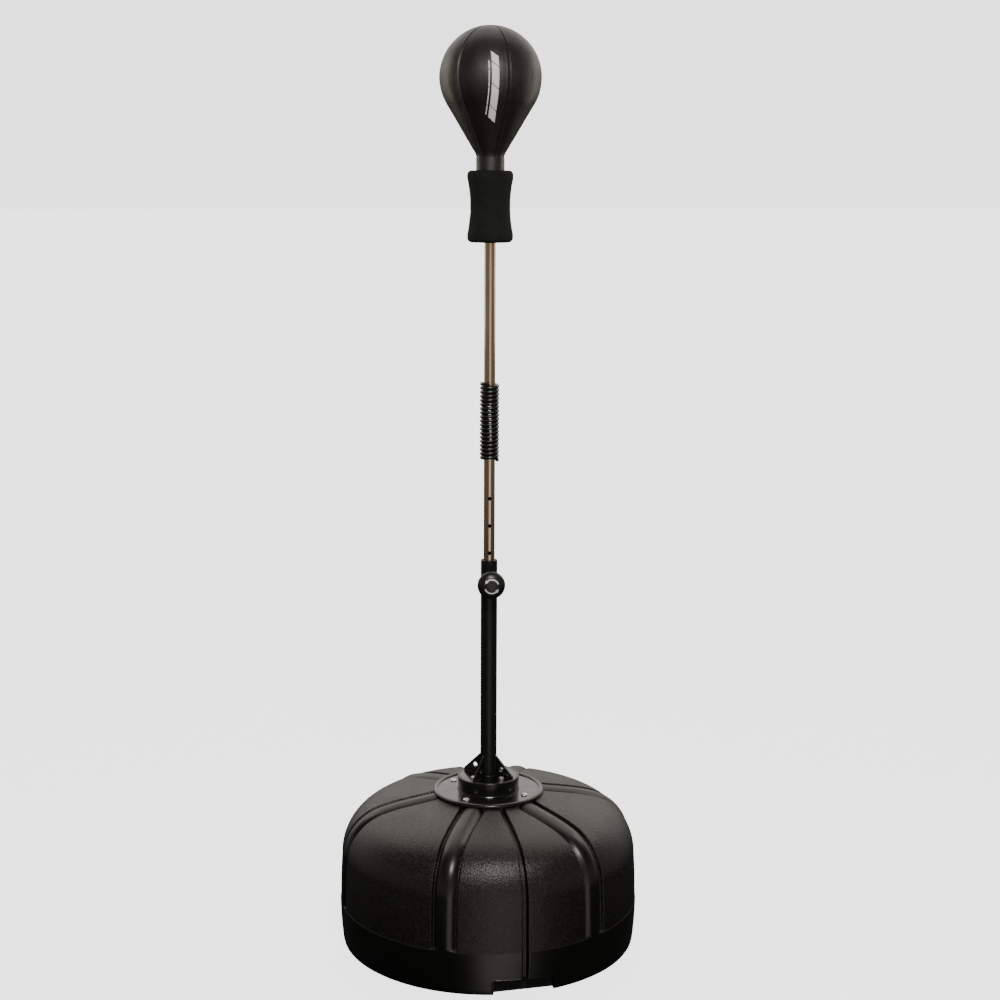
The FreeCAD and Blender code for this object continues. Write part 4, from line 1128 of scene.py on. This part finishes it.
def make_bag(m):
    """The sewn bag, the collar round its neck and the two printed stripes."""
    outline = bag_outline()
    columns = bag_columns()
    width = len(columns)
    points, seams = [], []
    for r, z in outline:
        for angle in columns:
            point, seam = bag_point(r, z, angle)
            points.append(point)
            seams.append(seam)
    faces = closed_rows(len(outline), width)
    faces.append(tuple(reversed(range(width))))
    crown = len(points)
    points.append((0.0, 0.0, BAG_HIGH))
    seams.append(0.0)
    last = (len(outline) - 1) * width
    faces += [(last + k, last + (k + 1) % width, crown) for k in range(width)]
    bag = recalc(make_mesh("bag", points, faces, 70.0))
    # The seam weight darkens the leather along the grooves as painted shade.
    mark_points(bag, "seam", seams)
    finish_piece(bag, "upper_pole", m["leather"], ["bag_cover"])

    low = BAG_LOW - 1.0 * MM
    high, inner, outer = low + 23 * MM, NECK_RADIUS - 1.5 * MM, NECK_RADIUS + 0.6 * MM
    corners = [(inner, low, 0.3 * MM), (outer, low, 0.6 * MM)]
    corners += [(outer, high, 0.7 * MM), (inner, high, 0.4 * MM)]
    collar = lathe("bag_collar", corners, 96, 4)
    finish_piece(collar, "upper_pole", m["leather"])

    stripes = (("bag_band", -6.5, 12.5, 1487.0, 1606.0), ("bag_pin", -22.5, 1.8, 1500.0, 1590.0))
    for name, start, wide, low_z, high_z in stripes:
        band = stripe(name, start * MM, wide * MM, low_z * MM, high_z * MM, outline)
        finish_piece(band, "upper_pole", m["print"])


def stripe(name, start, wide, low, high, outline):
    """A thin printed stripe up the bag's front, with slanted ends and two breaks."""
    heights = np.array([z for _, z in outline])
    radii = np.array([r for r, _ in outline])
    points, faces = [], []
    across, rows = 6, 90
    lift = 0.12 * MM
    slant = wide * 0.8
    for j in range(rows + 1):
        for k in range(across + 1):
            d = start - wide * k / across
            z = low + (high - low - slant) * j / rows + slant * k / across
            r = float(np.interp(z, heights, radii))
            (x, y, _), _ = bag_point(r, z, d / r)
            n = Vector((x, y, (z - BAG_MIDDLE))).normalized()
            points.append(Vector((x, y, z)) + n * lift)
    for j in range(rows):
        if abs((j % 30) - 15) < 1:
            continue
        for k in range(across):
            a = j * (across + 1) + k
            faces.append((a, a + across + 1, a + across + 2, a + 1))
    sheet = make_mesh(name, points, faces, 80.0)
    return thickened(sheet, 0.2 * MM)


# ---- pieces that keep their CAD shape ------------------------------------------------------------

def paint_cad_nodes(m):
    """Materials for the inner and hidden nodes."""
    paints = {
        "tub_inserts": "brass", "knob_insert": "brass", "foot_nuts": "zinc", "cap_seal": "rubber",
        "guide_bush": "nylon", "lock_barrel": "gloss", "lock_pin": "zinc", "lock_spring": "zinc",
        "glide_plug": "nylon", "lower_spring_plug": "spring", "upper_spring_plug": "spring",
        "tube_top_plug": "zinc", "bag_stud": "zinc", "neck_plug": "nylon", "bag_bladder": "rubber",
        "bladder_valve": "rubber",
    }
    for name, paint in paints.items():
        node = frame["nodes"][name]
        node.data.materials.clear()
        node.data.materials.append(m[paint])


# ---- stage ---------------------------------------------------------------------------------------

FLOOR_GLOW = 2.4
BACKDROP = 2.5


def around(angle, distance, height):
    """A place at an angle counted from the camera's side, growing to the camera's right."""
    a = CAMERA_SIDE + math.radians(angle)
    return Vector((math.sin(a) * distance, -math.cos(a) * distance, height))


def make_floor():
    """A pale floor that glows for the camera and sends no light onto the object."""
    mesh = bpy.data.meshes.new("floor")
    size = 60.0
    corners = [(-size, -size, 0), (size, -size, 0), (size, size, 0), (-size, size, 0)]
    mesh.from_pydata(corners, [], [(0, 1, 2, 3)])
    floor = new_object("floor", mesh)
    p = Paint("floor_paint", (0.8, 0.8, 0.8), 0.9, Emission_Color=(1.0, 1.0, 1.0, 1.0),
              Emission_Strength=FLOOR_GLOW)
    p.bump(p.noise(40.0, 2.0), 0.02, 0.001)
    p.material.cycles.emission_sampling = "NONE"
    floor.data.materials.append(p.material)
    floor.visible_diffuse = False
    floor.visible_glossy = False


def make_world():
    """A white backdrop for the camera, and a dim studio for the light: darker below and above, bright
    behind the object, and a pool of light on the floor in front of it."""
    world = bpy.data.worlds.new("studio")
    bpy.context.scene.world = world
    world.use_nodes = True
    tree = world.node_tree
    tree.nodes.clear()
    place = tree.nodes.new("ShaderNodeTexCoord").outputs["Generated"]

    def ramp(value, low, high, to_low, to_high):
        node = tree.nodes.new("ShaderNodeMapRange")
        node.interpolation_type = "SMOOTHSTEP"
        for key, number in (("From Min", low), ("From Max", high), ("To Min", to_low), ("To Max", to_high)):
            node.inputs[key].default_value = number
        tree.links.new(value, node.inputs["Value"])
        return node.outputs["Result"]

    def combine(operation, a, b):
        node = tree.nodes.new("ShaderNodeMath")
        node.operation = operation
        tree.links.new(a, node.inputs[0])
        tree.links.new(b, node.inputs[1])
        return node.outputs["Value"]

    def towards(angle):
        """The cosine between a direction's heading and an angle from the camera's side."""
        flat = tree.nodes.new("ShaderNodeVectorMath")
        flat.operation = "MULTIPLY"
        flat.inputs[1].default_value = (1.0, 1.0, 0.0)
        tree.links.new(place, flat.inputs[0])
        unit = tree.nodes.new("ShaderNodeVectorMath")
        unit.operation = "NORMALIZE"
        tree.links.new(flat.outputs["Vector"], unit.inputs[0])
        dot = tree.nodes.new("ShaderNodeVectorMath")
        dot.operation = "DOT_PRODUCT"
        dot.inputs[1].default_value = around(angle, 1.0, 0.0)
        tree.links.new(unit.outputs["Vector"], dot.inputs[0])
        return dot.outputs["Value"]

    split = tree.nodes.new("ShaderNodeSeparateXYZ")
    tree.links.new(place, split.inputs["Vector"])
    up = split.outputs["Z"]
    band = combine("SUBTRACT", ramp(up, -0.30, -0.02, 0.02, 0.32), ramp(up, 0.12, 0.55, 0.0, 0.24))
    glow = combine("MULTIPLY", ramp(towards(180.0), 0.2, 0.85, 0.0, 1.0), ramp(up, -0.02, 0.35, 0.0, 1.25))
    pool = combine("SUBTRACT", ramp(up, -0.9, -0.45, 0.0, 1.15), ramp(up, -0.16, 0.10, 0.0, 0.95))
    pool = combine("MULTIPLY", ramp(towards(11.0), 0.92, 0.985, 0.0, 1.0), pool)
    light = combine("ADD", combine("ADD", band, glow), pool)
    studio = tree.nodes.new("ShaderNodeBackground")
    studio.inputs["Color"].default_value = (1.0, 0.96, 0.89, 1.0)
    tree.links.new(light, studio.inputs["Strength"])
    backdrop = tree.nodes.new("ShaderNodeBackground")
    backdrop.inputs["Color"].default_value = (1.0, 1.0, 1.0, 1.0)
    backdrop.inputs["Strength"].default_value = BACKDROP
    mix = tree.nodes.new("ShaderNodeMixShader")
    tree.links.new(tree.nodes.new("ShaderNodeLightPath").outputs["Is Camera Ray"], mix.inputs["Fac"])
    tree.links.new(studio.outputs["Background"], mix.inputs[1])
    tree.links.new(backdrop.outputs["Background"], mix.inputs[2])
    output = tree.nodes.new("ShaderNodeOutputWorld")
    tree.links.new(mix.outputs["Shader"], output.inputs["Surface"])


def softbox(name, place, aim, wide, high, radiance, color):
    """A rectangular softbox of an even radiance."""
    lamp = bpy.data.lights.new(name, "AREA")
    lamp.shape = "RECTANGLE"
    lamp.size, lamp.size_y = wide, high
    lamp.energy = radiance * math.pi * wide * high
    lamp.color = color
    obj = new_object(name, lamp)
    obj.location = place
    obj.rotation_mode = "QUATERNION"
    obj.rotation_quaternion = (Vector(aim) - Vector(place)).to_track_quat("-Z", "Y")
    obj.visible_camera = False


def make_stage():
    """The floor, the studio round it and three softboxes."""
    make_floor()
    make_world()
    softbox("key", around(6.0, 2.1, 2.4), (0.0, 0.0, 0.25), 0.8, 0.55, 30.0, (1.0, 0.975, 0.93))
    softbox("left", around(-118.0, 1.1, 1.5), (0.0, 0.0, 1.5), 0.35, 1.0, 2.6, (1.0, 0.91, 0.76))
    softbox("right", around(118.0, 1.1, 1.5), (0.0, 0.0, 1.5), 0.35, 1.0, 2.9, (1.0, 0.91, 0.76))


def make_camera():
    """The camera stands 13.8 degrees to the left of the object's front and looks slightly down."""
    lens = bpy.data.cameras.new("camera")
    lens.sensor_width, lens.lens = 36.0, 64.8
    camera = new_object("camera", lens)
    side, distance, height = CAMERA_SIDE, 3.184, 1.4115
    pitch, yaw, roll = math.radians(10.44), math.radians(-0.347), math.radians(0.245)
    turn = Euler((math.pi / 2 - pitch, 0.0, side + yaw)).to_matrix().to_4x4()
    place = Matrix.Translation((math.sin(side) * distance, -math.cos(side) * distance, height))
    camera.matrix_world = place @ turn @ Matrix.Rotation(roll, 4, "Z")
    bpy.context.scene.camera = camera


def build():
    m = {
        "tub": tub_plastic(), "gloss": gloss_black(), "satin": satin_black(), "spring": spring_coat(),
        "bronze": bronze_chrome(), "zinc": zinc(), "brass": brass(), "knob": knob_plastic(),
        "foam": foam(), "leather": leather(),
        "print": print_white(), "nylon": dull_plastic("nylon", (0.02, 0.02, 0.02)),
        "rubber": dull_plastic("rubber", (0.015, 0.015, 0.015)),
    }
    make_camera()
    make_stage()
    make_base(m)
    make_flange(m)
    make_screws(m)
    make_bolts(m)
    make_post(m)
    make_lock(m)
    make_tubes(m)
    make_spring(m)
    make_foam(m)
    make_bag(m)
    paint_cad_nodes(m)


build()
